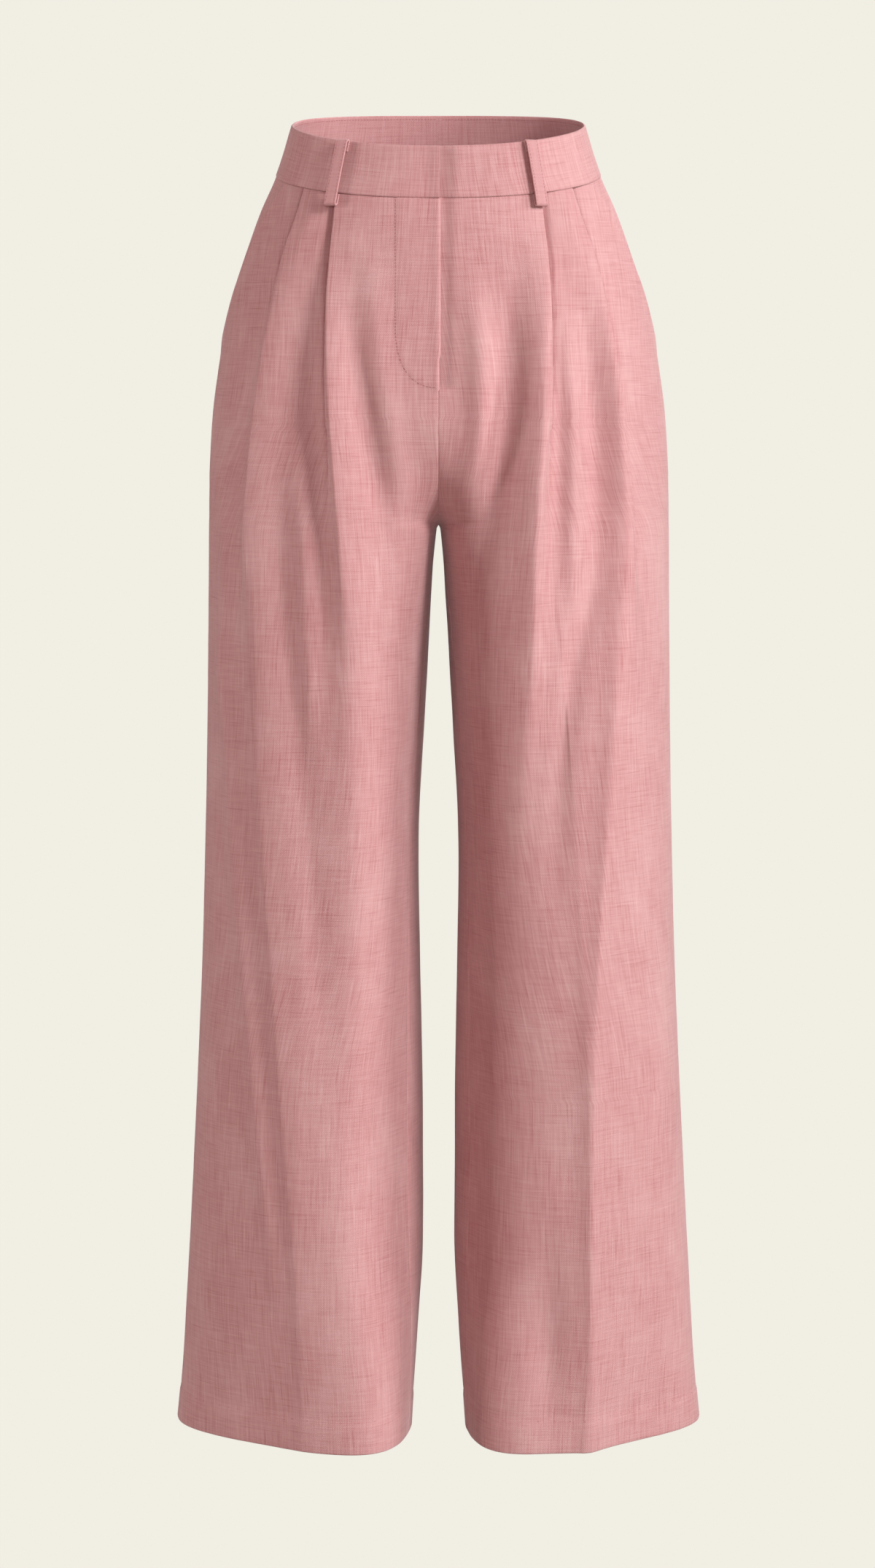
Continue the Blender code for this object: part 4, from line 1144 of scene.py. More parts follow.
    def grain(self, points: Array, crease_column: int) -> Array:
        """Places on the flat cloth: across from the crease, and down along it."""
        across = np.linalg.norm(np.diff(points, axis=1), axis=2)
        across = np.concatenate((np.zeros((len(points), 1)), np.cumsum(across, axis=1)), axis=1)
        across -= across[:, crease_column : crease_column + 1]
        crease = points[:, crease_column]
        down = np.concatenate(([0.0], np.cumsum(np.linalg.norm(np.diff(crease, axis=0), axis=1))))
        straight = smooth_step(1 - down / self.pattern.level_below)[:, None]
        down = down[:, None] - (points[:, :, 2] - crease[:, None, 2]) * straight
        start_across, start_down = self.grain_start
        return np.stack((self.side.value * across + start_across, down + start_down), axis=2)

    def dress(self, piece: bpy.types.Object, materials: Materials) -> None:
        Meshes.thicken(piece, self.cloth, materials["outside"], materials["inside"])
        Meshes.hand_over(piece, Slot.TWILL, f"{self.face.value}_{self.side.word}")


@dataclass
class FrontPanel(Panel):
    """A front, from the fly or inseam, through two pleats, to the pocket mouth or side seam."""

    pleats: Pleats = Pleats()
    pocket_inset: float = 0.040
    pocket_drop: float = 0.150
    lap_flat: float = 0.004
    lap_ramp: float = 0.015
    lap_depth: float = 0.0022
    inner_columns: int = 30
    between_columns: int = 19
    outer_columns: int = 28
    crowding: float = 1.35
    mouth_lift: float = 0.0012
    mouth_lift_width: float = 0.006
    mouth_top: float = 0.020
    rise_power: float = 2.6
    fly_ridge: float = 0.00060
    fly_stitch_width: float = 0.0012
    fly_stitch_x: float = 0.0348
    fly_turn_drop: float = 0.125
    fly_curve: float = 0.0510
    fly_square: float = 2.4
    fly_lift: float = 0.0011
    fly_lift_width: float = 0.005
    fly_edge_pull: float = 0.3
    fly_stitch_seed: int = 9

    face = Face.FRONT
    flat = (0.40, 1.12)
    flat_area = 0.40

    def __post_init__(self) -> None:
        """Sets what differs between the two fronts."""
        self.grain_start = (0.0, 0.0) if self.side is Side.LEFT else (0.62, 0.31)
        self.seed = 11 if self.side is Side.LEFT else 23

    @cached_property
    def pleat_places(self) -> Array:
        """Places through a pleat, closest together round its two folds."""
        runs = ((-1, -0.68, 5), (-0.64, -0.36, 9), (-0.30, 0.30, 6), (0.36, 0.64, 9), (0.68, 1, 5))
        return np.concatenate([np.linspace(*run) for run in runs])

    @property
    def plain_columns(self) -> int:
        """Number of columns between the rolled edges."""
        plain = self.inner_columns + self.between_columns + self.outer_columns
        return plain + 2 * len(self.pleat_places)

    @property
    def crease_column(self) -> int:
        """The plain column on the inner pleat's top fold."""
        return self.inner_columns + int(np.argmin(np.abs(self.pleat_places + 0.5)))

    def inset(self, drop: Array) -> Array:
        """How far the slanted pocket mouth lies in front of the side seam."""
        return self.pocket_inset * np.maximum(0, 1 - drop / self.pocket_drop)

    def outer_stretch(self, level: Section, drop: Array) -> tuple[Array, Array]:
        """Where the plain stretch beyond the outer pleat starts and ends."""
        throw, spread = (self.pleats.size(f"outer_{name}", drop) for name in ("throw", "spread"))
        start = level.to_outer_fold.reshape(drop.shape) - throw + 1.5 * spread
        stop = level.to_end.reshape(drop.shape) - np.maximum(self.inset(drop), self.seam_half_gap)
        return start, stop

    def outer_relief(self, share: Array, drop: Array) -> Array:
        """Relief from the outer pleat's bottom layer up to the plain cloth at the pocket or seam."""
        height = self.pleats.size("outer_height", drop)
        return -height * (1 + self.pleats.tuck(drop)) * (1 - share)

    def fly_dip(self, distance: Array, drop: Array) -> Array:
        """The wearer's left front dips under the right one along the fly."""
        if self.side is Side.RIGHT:
            return np.zeros_like(distance)
        ramp = smooth_step((self.lap_ramp - distance) / (self.lap_ramp - self.lap_flat))
        return np.where(drop > self.fly_drop, 0.0, -self.lap_depth * ramp)

    def seams(self, level: Section, drop: Array) -> tuple[Array, Array, Array, Array]:
        """Distances of the first and last edges, and the lengths of their tails, at each row."""
        lapped = (self.side is Side.RIGHT) & (drop < self.fly_lap_drop)
        below = drop >= self.pattern.crotch_drop
        first = np.where(lapped, -self.fly_lap, np.where(below, self.seam_half_gap, 0.0))
        _start, last = self.outer_stretch(level, drop)
        first_tail = np.where(drop < self.fly_drop, self.edge.short_tail, self.edge.tail)
        last_tail = np.where(drop < self.pocket_drop, self.edge.short_tail, self.edge.tail)
        return first, last, first_tail, last_tail

    def places(self, level: Section, drop: Array) -> tuple[Array, Array]:
        """Distances and reliefs of every plain column at each row, as (rows, columns) arrays."""
        shape = drop.shape
        to_fold = level.to_fold.reshape(shape) + self.pleats.size("inner_shift", drop)
        to_outer = level.to_outer_fold.reshape(shape)
        widths = (len(self.pleat_places), self.between_columns, len(self.pleat_places), self.outer_columns)
        bounds = np.cumsum((0, self.inner_columns, *widths))
        inner, first_pleat, between, second_pleat, outer = (
            slice(start, stop) for start, stop in zip(bounds, bounds[1:])
        )
        distance, relief = np.zeros(shape), np.zeros(shape)
        edge = self.seams(level, drop.ravel())[0].reshape(shape)
        for zone, which, fold in ((first_pleat, "inner", to_fold), (second_pleat, "outer", to_outer)):
            found = self.pleats.across(which, self.pleat_places, fold[:, zone], drop[:, zone])
            distance[:, zone], relief[:, zone] = found
        start = self.pleats.across("inner", np.array(-1.0), to_fold[:, inner], drop[:, inner])
        share = np.linspace(0, 1, self.inner_columns, endpoint=False)
        first = edge[:, inner] + self.edge.roll
        distance[:, inner] = first + (start[0] - first) * share
        relief[:, inner] = start[1] * share**self.rise_power
        end = self.pleats.across("inner", np.array(1.0), to_fold[:, between], drop[:, between])
        after = self.pleats.across("outer", np.array(-1.0), to_outer[:, between], drop[:, between])
        share = np.linspace(0, 1, self.between_columns + 2)[1:-1] ** self.crowding
        distance[:, between] = end[0] + (after[0] - end[0]) * share
        relief[:, between] = end[1] + (after[1] - end[1]) * share
        past_edge = distance[:, between] - to_fold[:, between]
        relief[:, between] -= self.pleats.dip("inner", past_edge, drop[:, between])
        start, stop = self.outer_stretch(level, drop)
        share = np.linspace(0, 1, self.outer_columns + 1)[1:] ** self.crowding
        last = stop[:, outer] - self.edge.roll
        distance[:, outer] = start[:, outer] + (last - start[:, outer]) * share
        past_edge = distance[:, outer] - to_outer[:, outer]
        relief[:, outer] = self.outer_relief(share, drop[:, outer])
        relief[:, outer] -= self.pleats.dip("outer", past_edge, drop[:, outer])
        return distance, relief + self.fly_dip(distance, drop)

    def fly_line(self, drop: Array) -> Array:
        """Distance of the fly's J-shaped stitching from the middle, or 0 below it."""
        share = np.clip((drop - self.fly_turn_drop) / self.fly_curve, 0, 1)
        return self.fly_stitch_x * (1 - share**self.fly_square) ** (1 / self.fly_square)

    def extra_relief(self, level: Section, drop: Array, distance: Array, x: Array) -> Array:
        """Relief of the puckers, the doubled fly and the calm edges at flat arrays of points."""
        stop = level.to_end - self.inset(drop)
        to_edge = np.minimum(distance, stop - distance)
        relief = self.drape.unevenness(distance, drop, np.minimum(to_edge, drop), self.seed)
        relief += self.drape.pucker(level.to_end - distance, drop, self.side_seam_seed)
        pull = np.where(drop > self.fly_drop, 1.0, self.fly_edge_pull)
        relief += pull * self.drape.pucker(distance, drop, self.inner_seam_seed)
        relief += self.waist_pull * self.drape.pucker(drop, distance, self.seed + self.waist_seed_step)
        lifted = smooth_step(drop / self.mouth_top) * smooth_step((self.pocket_drop - drop) / self.mouth_top)
        relief += self.mouth_lift * lifted * bump_of(stop - distance, self.mouth_lift_width)
        if self.side is Side.RIGHT:
            relief += self.fly_lift * bump_of(distance, self.fly_lift_width) * (drop < self.fly_drop)
            from_line = self.fly_line(drop) - x
            above = drop < self.fly_turn_drop + self.fly_curve
            doubled = smooth_step(from_line / self.fly_stitch_width + 0.5)
            relief += np.where(above, self.fly_ridge * doubled, 0.0)
            relief -= np.where(above, self.hem_dimple * bump_of(from_line, self.fly_stitch_width), 0.0)
            relief += np.where(above, self.drape.pucker(from_line, drop, self.fly_stitch_seed), 0.0)
        return relief


@dataclass
class BackPanel(Panel):
    """A back, from the side seam, over its pressed crease, to the centre seam or inseam."""

    outer_columns: int = 46
    inner_columns: int = 54
    crease_height: float = 0.0011
    crease_width: float = 0.0045
    crease_top: float = 0.42
    crease_full: float = 0.70

    face = Face.BACK
    flat = (0.36, 1.14)
    flat_area = 0.38

    def __post_init__(self) -> None:
        """Sets what differs between the two backs."""
        self.grain_start = (1.31, 0.17) if self.side is Side.LEFT else (1.93, 0.44)
        self.seed = 37 if self.side is Side.LEFT else 41

    @property
    def plain_columns(self) -> int:
        """Number of columns between the rolled edges."""
        return self.outer_columns + self.inner_columns

    @property
    def crease_column(self) -> int:
        """The plain column on the back crease."""
        return self.outer_columns

    def seams(self, level: Section, drop: Array) -> tuple[Array, Array, Array, Array]:
        """Distances of the first and last edges, and the lengths of their tails, at each row."""
        gap = np.where(drop >= self.pattern.crotch_drop, self.seam_half_gap, 0.0)
        tail = np.full(drop.shape, self.edge.tail)
        return np.full(drop.shape, self.seam_half_gap), level.to_end - gap, tail, tail

    def places(self, level: Section, drop: Array) -> tuple[Array, Array]:
        """Distances and reliefs of every plain column at each row, as (rows, columns) arrays."""
        to_fold = level.to_fold.reshape(drop.shape)
        first, last, _first_tail, _last_tail = self.seams(level, drop.ravel())
        first = first.reshape(drop.shape) + self.edge.roll
        last = last.reshape(drop.shape) - self.edge.roll
        outer, inner = slice(0, self.outer_columns), slice(self.outer_columns, None)
        distance = np.zeros(drop.shape)
        share = np.linspace(0, 1, self.outer_columns, endpoint=False)
        distance[:, outer] = first[:, outer] + (to_fold - first)[:, outer] * share
        share = np.linspace(0, 1, self.inner_columns)
        distance[:, inner] = to_fold[:, inner] + (last - to_fold)[:, inner] * share
        return distance, np.zeros(drop.shape)

    def extra_relief(self, level: Section, drop: Array, distance: Array, x: Array) -> Array:
        """Relief of the puckers and of the pressed crease at flat arrays of points."""
        to_edge = np.minimum(distance, level.to_end - distance)
        relief = self.drape.unevenness(distance, drop, np.minimum(to_edge, drop), self.seed)
        relief += self.drape.pucker(distance, drop, self.side_seam_seed)
        relief += self.drape.pucker(level.to_end - distance, drop, self.inner_seam_seed)
        relief += self.waist_pull * self.drape.pucker(drop, distance, self.seed + self.waist_seed_step)
        pressed = smooth_step((drop - self.crease_top) / (self.crease_full - self.crease_top))
        ridge = np.exp(-np.abs(distance - level.to_fold) / self.crease_width)
        return relief + self.crease_height * pressed * ridge


@dataclass
class PocketSide:
    """The piece behind a slanted pocket mouth, from under the front to the side seam."""

    front: FrontPanel
    depth: float = 0.0025
    reach: float = 0.012
    bottom: float = 0.142
    flat_share: float = 0.2
    risen_share: float = 0.8
    hidden_columns: int = 6
    shown_columns: int = 18
    row_count: int = 52
    hidden_rise: float = 0.5
    grain_start: tuple[float, float] = (2.4, 0.8)
    flat: tuple[float, float] = (0.06, 0.16)
    flat_area: float = 0.0055

    def build(self) -> bpy.types.Object:
        """Cuts and places the piece.

        Returns:
            The piece, without its thickness.
        """
        front, edge = self.front, self.front.edge
        pattern, side = front.pattern, front.side
        columns = self.hidden_columns + self.shown_columns
        hidden = np.linspace(-1, 0, self.hidden_columns, endpoint=False)
        share = np.concatenate((hidden, np.linspace(0, 1, self.shown_columns)))
        rise = smooth_step((share - self.flat_share) / (self.risen_share - self.flat_share))

        def places(level: Section, drop: Array) -> tuple[Array, Array]:
            """Distances and reliefs of the piece's columns."""
            _start, mouth = front.outer_stretch(level, drop)
            last = level.to_end.reshape(drop.shape) - front.seam_half_gap
            width = last - edge.roll - mouth
            distance = mouth + np.where(share < 0, self.reach * share, width * share)
            under = front.outer_relief(1 + np.minimum(share, 0) * self.hidden_rise, drop)
            return distance, under - self.depth * (1 - rise)

        drops = np.linspace(0.0, self.bottom, self.row_count)
        drop = np.repeat(drops[:, None], columns, axis=1)
        level, distance, relief, height = pattern.hang(Face.FRONT, side, drop, places)
        relief += front.drape.pucker(level.to_end - distance, drop.ravel(), front.side_seam_seed)
        spots = level.place(distance, relief).reshape(*drop.shape, 2)
        end = pattern.section(Face.FRONT, side, -height[:, -1])
        plain = end.place(end.to_end - front.seam_half_gap, 0.0)
        out = end.place(end.to_end - front.seam_half_gap, 1.0) - plain
        rolled = edge.columns(spots[:, -1], plain, -out, np.full(len(drops), edge.tail))
        spots = np.concatenate((spots, np.stack(rolled, 1)), axis=1)
        height = np.pad(height, ((0, 0), (0, edge.count)), mode="edge")
        points = np.concatenate((spots, height[:, :, None]), axis=2) * (side.value, 1, 1)
        across = np.pad(distance.reshape(drop.shape), ((0, 0), (0, edge.count)), mode="edge")
        down = np.pad(drop, ((0, 0), (0, edge.count)), mode="edge")
        uv = np.stack((side.value * across, down), axis=2) + self.grain_start
        return Meshes.from_grid(f"pocket_side_{side.word}_cloth", points, uv, side is Side.LEFT)

    def dress(self, piece: bpy.types.Object, materials: Materials) -> None:
        Meshes.thicken(piece, self.front.cloth, materials["outside"], materials["inside"])
        word = self.front.side.word
        Meshes.hand_over(piece, Slot.TWILL, f"pocket_side_{word}")


@dataclass
class FlyShield:
    """The underlap behind the closed fly."""

    pattern: Pattern
    width: float = 0.032
    return_width: float = 0.012
    sunk: float = 0.0030
    top: float = 0.0
    bottom: float = 0.1748
    cloth: float = 0.0010
    columns: int = 16
    row_count: int = 50
    grain_start: tuple[float, float] = (2.7, 0.2)

    def build(self) -> bpy.types.Object:
        """Cuts the underlap."""
        drops = np.linspace(self.top, self.bottom, self.row_count)
        drop = np.repeat(drops[:, None], self.columns, axis=1)
        seam = self.pattern.waist_line(self.pattern.centres.read("front", np.zeros(1)))[0]
        share = np.maximum(0, 1 - drop / self.pattern.level_below)
        height = (-drop + seam * share * share).ravel()
        level = self.pattern.section(Face.FRONT, Side.LEFT, -height)
        distance = np.tile(np.linspace(-self.width, self.return_width, self.columns), self.row_count)
        spots = level.place(np.abs(distance), -self.sunk)
        x = np.copysign(spots[:, 0], distance)
        points = np.stack((x, spots[:, 1], height), 1).reshape(*drop.shape, 3)
        uv = np.stack((distance.reshape(drop.shape), drop), axis=2) + self.grain_start
        return Meshes.from_grid("fly_underlap", points, uv, flip=True)

    def dress(self, piece: bpy.types.Object, materials: Materials) -> None:
        Meshes.thicken(piece, self.cloth, materials["inside"])
        Meshes.hand_over(piece, Slot.INSIDE, "fly_shield")


@dataclass
class Waistband:
    """One half of the band: an outer strip with a rolled top edge, and the facing inside it."""

    side: Side
    pattern: Pattern
    height: float = 0.042
    lift: float = 0.0009
    proud: float = 0.0007
    cloth: float = 0.0012
    facing_depth: float = 0.0017
    facing_cloth: float = 0.0009
    fly_lap: float = 0.0010
    lap: float = 0.030
    lap_ramp: float = 0.015
    lap_depth: float = 0.0036
    end_lift: float = 0.0021
    end_lift_width: float = 0.007
    roll: float = 0.0008
    front_stations: int = 76
    back_stations: int = 70
    row_count: int = 15
    ripple: float = 0.00018
    ripple_across: float = 0.021
    ripple_down: float = 0.017
    ripple_seed: int = 61
    lap_start: float = 1.5
    facing_drop: float = 0.0009
    tip_drop: float = 0.0005
    tip_turn: float = 0.0002
    grain_start: float = 3.0
    grain_step: float = 0.5
    left_length: float = 0.385
    right_length: float = 0.355

    def _stations(self) -> Array:
        """Places round the half band: 0 to 1 over the front, then 1 to 2 over the back."""
        front = np.linspace(0, 1, self.front_stations)
        return np.concatenate((front, np.linspace(1, 2, self.back_stations)[1:]))

    def spots(self, station: Array, z: Array, depth: Array | float, lifted: bool) -> Array:
        """(n, 3) points at stations and heights.

        Args:
            station: Places round the half band.
            z: Their heights.
            depth: How far inside the band's own line they lie.
            lifted: Whether the band's own lap, lift and ripples are added.

        Returns:
            The points.
        """
        front = station <= 1
        points = np.zeros((len(station), 3))
        start = -self.lap if self.side is Side.LEFT else -self.fly_lap
        for face, chosen in ((Face.FRONT, front), (Face.BACK, ~front)):
            level = self.pattern.section(face, Side.LEFT, -z[chosen])
            share = station[chosen] if face is Face.FRONT else station[chosen] - 1
            first = start if face is Face.FRONT else 0.0
            distance = first + (level.to_end - first) * share
            relief = -np.broadcast_to(depth, station.shape)[chosen]
            if lifted:
                relief = relief + self.proud + self._own_relief(face, distance, z[chosen])
            spots = level.place(np.abs(distance), relief)
            points[chosen, 0] = self.side.value * np.copysign(spots[:, 0], distance)
            points[chosen, 1] = spots[:, 1]
        points[:, 2] = z
        return points

    def _own_relief(self, face: Face, distance: Array, z: Array) -> Array:
        """The lap under the fly's end, the end's slight lift, and ripples."""
        seed = self.ripple_seed + self.side.value
        ripples = self.ripple * value_noise(distance / self.ripple_across, z / self.ripple_down, seed)
        if face is Face.BACK:
            return ripples
        if self.side is Side.LEFT:
            ramp = (self.lap_ramp - distance) / (self.lap_ramp - self.lap_start * self.fly_lap)
            return ripples - self.lap_depth * np.clip(ramp, 0, 1)
        return ripples + self.end_lift * bump_of(distance + self.fly_lap, self.end_lift_width)

    def seam(self, station: Array) -> Array:
        """Height of the waist seam at each station."""
        z = np.zeros(len(station))
        for _ in range(self.pattern.search_steps):
            z = self.pattern.waist_line(self.spots(station, z, 0.0, lifted=False)[:, 1])
        return z

    def _grid(self, profile: Sequence[tuple[float, float]]) -> tuple[Array, Array]:
        """Points and flat places of a strip whose profile is given from its bottom up.

        Args:
            profile: (height above the seam, depth) pairs.

        Returns:
            (rows, stations, 3) points and (rows, stations, 2) flat places, from the top down.
        """
        station = self._stations()
        seam = self.seam(station)
        rows = [
            self.spots(station, seam + self.lift + height, depth, lifted=True)
            for height, depth in reversed(list(profile))
        ]
        points = np.array(rows)
        along = np.linalg.norm(np.diff(points[len(rows) // 2], axis=0), axis=1)
        along = np.concatenate(([0.0], np.cumsum(along)))
        heights = np.array([height for height, _depth in reversed(list(profile))])
        across, down = np.meshgrid(along, self.height - heights)
        across = across + self.grain_start + self.side.value * self.grain_step
        return points, np.stack((across, down), axis=2)

    def build(self) -> tuple[bpy.types.Object, bpy.types.Object]:
        """Makes the outer strip and the facing.

        Returns:
            The two pieces, without their thickness.
        """
        rise = self.height - self.lift
        angles = [math.radians(angle) for angle in (30, 60, 90)]
        rolled = [(self.roll * (1 - math.sin(a)), self.roll * (1 - math.cos(a))) for a in angles]
        body = [(float(height), 0.0) for height in np.linspace(self.roll, rise - self.roll, self.row_count)]
        top = [(rise - height, depth) for height, depth in rolled]
        outer = rolled[::-1] + body + top
        inside = [
            (float(height), self.facing_depth)
            for height in np.linspace(0.0, rise - self.facing_drop, self.row_count)
        ]
        inside.append((rise - self.tip_drop, self.facing_depth - self.tip_turn))
        pieces = []
        for name, profile in (("band", outer), ("band_facing", inside)):
            points, uv = self._grid(profile)
            flip = self.side is Side.LEFT
            pieces.append(Meshes.from_grid(f"{name}_{self.side.word}", points, uv, flip))
        return pieces[0], pieces[1]

    def dress(self, band: bpy.types.Object, facing: bpy.types.Object, materials: Materials) -> None:
        Meshes.thicken(band, self.cloth, materials["outside"])
        Meshes.thicken(facing, self.facing_cloth, materials["inside"])
        word = self.side.word
        Meshes.hand_over(band, Slot.TWILL, f"waistband_{word}")
        Meshes.hand_over(facing, Slot.INSIDE, f"waistband_facing_{word}")


@dataclass
class BeltLoop:
    """An upright strap over the band, folded back behind itself at both ends."""

    name: str
    face: Face
    side: Side
    top_x: float
    bottom_x: float
    pattern: Pattern
    band_height: float = 0.042
    band_half: float = 0.00075
    width: float = 0.0105
    cloth: float = 0.0016
    stand_off: float = 0.0050
    seat: float = 0.0008
    tail: float = 0.009
    below_seam: float = 0.010
    corner: float = 0.0006
    channel: float = 0.0015
    channel_depth: float = 0.00012
    channel_width: float = 0.0006
    bow: float = 0.0004
    pitch: float = 0.0012
    side_points: int = 15
    settle_steps: int = 8
    grain_start: float = 4.2

    def _path(self) -> tuple[Array, Array]:
        """Stand-offs and heights down the strap, from its upper tail to its lower one."""
        tucked = self.band_half + self.seat + self.cloth / 2
        proud = self.band_half + self.stand_off + self.cloth / 2
        turn = (proud - tucked) / 2
        middle = (proud + tucked) / 2
        top, bottom = self.band_height - self.cloth / 2, -self.below_seam + self.cloth / 2
        high = [(tucked, top - self.tail + at) for at in np.arange(0, self.tail - turn, self.pitch)]
        arc = np.radians(np.arange(180, -1, -15))
        over = [(middle + turn * math.cos(a), top - turn + turn * math.sin(a)) for a in arc]
        length = top - bottom - 2 * turn
        shares = np.linspace(0, 1, math.ceil(length / self.pitch))[1:-1]
        front = [
            (proud + self.bow * math.sin(math.pi * share), top - turn - length * share)
            for share in shares
        ]
        under = [(middle + turn * math.cos(a), bottom + turn - turn * math.sin(a)) for a in arc[::-1]]
        low = [(tucked, bottom + turn + at) for at in np.arange(self.pitch, self.tail - turn, self.pitch)]
        path = np.array(high + over + front + under + low)
        return path[:, 0], path[:, 1]

    def _on_band(self, x: Array, height: Array) -> tuple[Array, Array]:
        """Points on the band's middle at heights above the seam, and the way out of it there."""
        z = height.copy()
        for _ in range(self.pattern.search_steps):
            level = self.pattern.section(self.face, Side.LEFT, -z)
            distance = x.copy() if self.face is Face.FRONT else level.to_end - x
            for _step in range(self.settle_steps):
                spots = level.place(distance, 0.0)
                distance += (x - spots[:, 0]) * (1 if self.face is Face.FRONT else -1)
            z = self.pattern.waist_line(spots[:, 1]) + height
        out = level.place(distance, 1.0) - spots
        return np.column_stack((spots, z)), np.column_stack((out, np.zeros(len(out))))

    def frames(self) -> tuple[Array, Array, Array, Array]:
        """Centre line, along, across and outward unit directions of the strap."""
        stand_off, height = self._path()
        lean = (self.bottom_x - self.top_x) / (self.band_height + self.below_seam)
        x = self.top_x + lean * (self.band_height - height)
        mirror = np.array((self.side.value, 1, 1))
        middle = np.array(((self.top_x + self.bottom_x) / 2,))
        _spot, out = self._on_band(middle, np.zeros(1))
        out = out[0] * mirror
        places, _outs = self._on_band(x, height)
        centre = places * mirror + out * stand_off[:, None]
        along = np.gradient(centre, axis=0)
        along /= np.linalg.norm(along, axis=1)[:, None]
        across = np.array((out[1], -out[0], 0.0))
        normal = np.cross(along, across)
        normal /= np.linalg.norm(normal, axis=1)[:, None]
        return centre, along, across, -normal

    def _outline(self) -> Array:
        """(n, 2) points round the strap's cross-section, with its two stitched channels."""
        half, deep, corner = self.width / 2, self.cloth / 2, self.corner
        across = np.linspace(-half + corner, half - corner, self.side_points)
        channels = [across - at * (half - self.channel) for at in (-1, 1)]
        dip = self.channel_depth * sum(bump_of(offset, self.channel_width) for offset in channels)
        lower_right = [
            (half - corner + corner * math.cos(turn), -deep + corner - corner * math.sin(turn))
            for turn in np.radians((90, 67.5, 45, 22.5, 0))
        ]
        upper_right = [(x, -y) for x, y in lower_right[::-1]]
        upper_left = [(-x, -y) for x, y in lower_right]
        lower_left = [(-x, -y) for x, y in upper_right]
        bottom = list(zip(across, -deep + dip))
        top = list(zip(across[::-1], (deep - dip)[::-1]))
        ring = bottom[1:-1] + lower_right + upper_right[1:] + top[1:-1] + upper_left + lower_left[1:]
        return np.array(ring)

    def build(self) -> bpy.types.Object:
        """Makes the strap.

        Returns:
            The piece, closed at both ends.
        """
        centre, _along, across, normal = self.frames()
        outline = self._outline()
        points = (
            centre[:, None]
            + across * outline[None, :, :1]
            + normal[:, None] * outline[None, :, 1:]
        )
        down = np.concatenate(([0.0], np.cumsum(np.linalg.norm(np.diff(centre, axis=0), axis=1))))
        uv = np.stack(
            (
                np.repeat(outline[None, :, 0], len(centre), axis=0) + self.grain_start,
                np.repeat(down[:, None], len(outline), axis=1),
            ),
            axis=2,
        )
        piece = Meshes.from_grid(self.name + "_strap", points, uv, flip=False, closed=True)
        Meshes.select_only(piece)
        bpy.ops.object.mode_set(mode="EDIT")
        bpy.ops.mesh.select_all(action="SELECT")
        bpy.ops.mesh.fill_holes(sides=0)
        bpy.ops.mesh.normals_make_consistent(inside=False)
        bpy.ops.object.mode_set(mode="OBJECT")
        bpy.ops.object.shade_smooth_by_angle(angle=SMOOTH_ANGLE)
        return piece

    def dress(self, piece: bpy.types.Object, materials: Materials) -> None:
        piece.data.materials.append(materials["strap"])
        Meshes.hand_over(piece, Slot.LOOP, self.name)


@dataclass
class Stitcher:
    """Sews runs of stitches: one stitch is modelled, and copied along each run."""

    thread: bpy.types.Material
    length: float = 0.0021
    pitch: float = 0.0027
    width: float = 0.00050
    height: float = 0.00042
    lift: float = 0.35
    bend: float = 1.6

    def __post_init__(self) -> None:
        """Models the one stitch, a bent grain of thread, and keeps its points and faces."""
        bpy.ops.object.select_all(action="DESELECT")
        bpy.ops.mesh.primitive_uv_sphere_add(segments=6, ring_count=5, radius=0.5)
        bpy.ops.object.mode_set(mode="EDIT")
        bpy.ops.transform.rotate(value=math.pi / 2, orient_axis="Y", center_override=(0, 0, 0))
        bpy.ops.object.mode_set(mode="OBJECT")
        model = bpy.context.active_object
        self.points = np.array([vertex.co[:] for vertex in model.data.vertices])
        self.faces = [tuple(face.vertices) for face in model.data.polygons]
        bpy.data.objects.remove(model, do_unlink=True)

    def sew(self, name: str, runs: Sequence[tuple[Array, Array]], size: float = 1.0) -> bpy.types.Object:
        """Sews stitches along lines that lie on the cloth.

        Args:
            name: The piece's name.
            runs: For each run, its points in order and the cloth's outward directions there.
            size: Scale of the stitch.

        Returns:
            One piece with all the runs' stitches.
        """
        points: list[Array] = []
        faces: list[tuple[int, ...]] = []
        for line, outward in runs:
            steps = np.linalg.norm(np.diff(line, axis=0), axis=1)
            reached = np.concatenate(([0.0], np.cumsum(steps)))
            for start in np.arange(self.pitch / 2, reached[-1] - self.pitch / 2, self.pitch):
                ends = [
                    np.array([np.interp(at, reached, line[:, axis]) for axis in range(3)])
                    for at in (start - self.length / 2, start + self.length / 2)
                ]
                out = np.array([np.interp(start, reached, outward[:, axis]) for axis in range(3)])
                first = sum(len(block) for block in points)
                points.append(self._stitch(ends[0], ends[1], out, size))
                faces += [tuple(first + corner for corner in face) for face in self.faces]
        mesh = bpy.data.meshes.new(name)
        mesh.from_pydata(np.vstack(points).tolist(), [], faces)
        mesh.materials.append(self.thread)
        mesh.shade_smooth()
        piece = bpy.data.objects.new(name, mesh)
        bpy.context.scene.collection.objects.link(piece)
        return piece

    def _stitch(self, start: Array, end: Array, out: Array, size: float) -> Array:
        """Points of one stitch between two places, bowed out of the cloth in its middle."""
        along = (end - start) / np.linalg.norm(end - start)
        out = out - along * (out @ along)
        out /= np.linalg.norm(out)
        across = np.cross(out, along)
        scale = np.array((np.linalg.norm(end - start), self.width * size, self.height * size))
        local = self.points * scale
        bow = self.height * size * (self.lift - self.bend * self.points[:, 0] ** 2)
        flat = (start + end) / 2 + local[:, :1] * along + local[:, 1:2] * across
        return flat + (local[:, 2] + bow)[:, None] * out


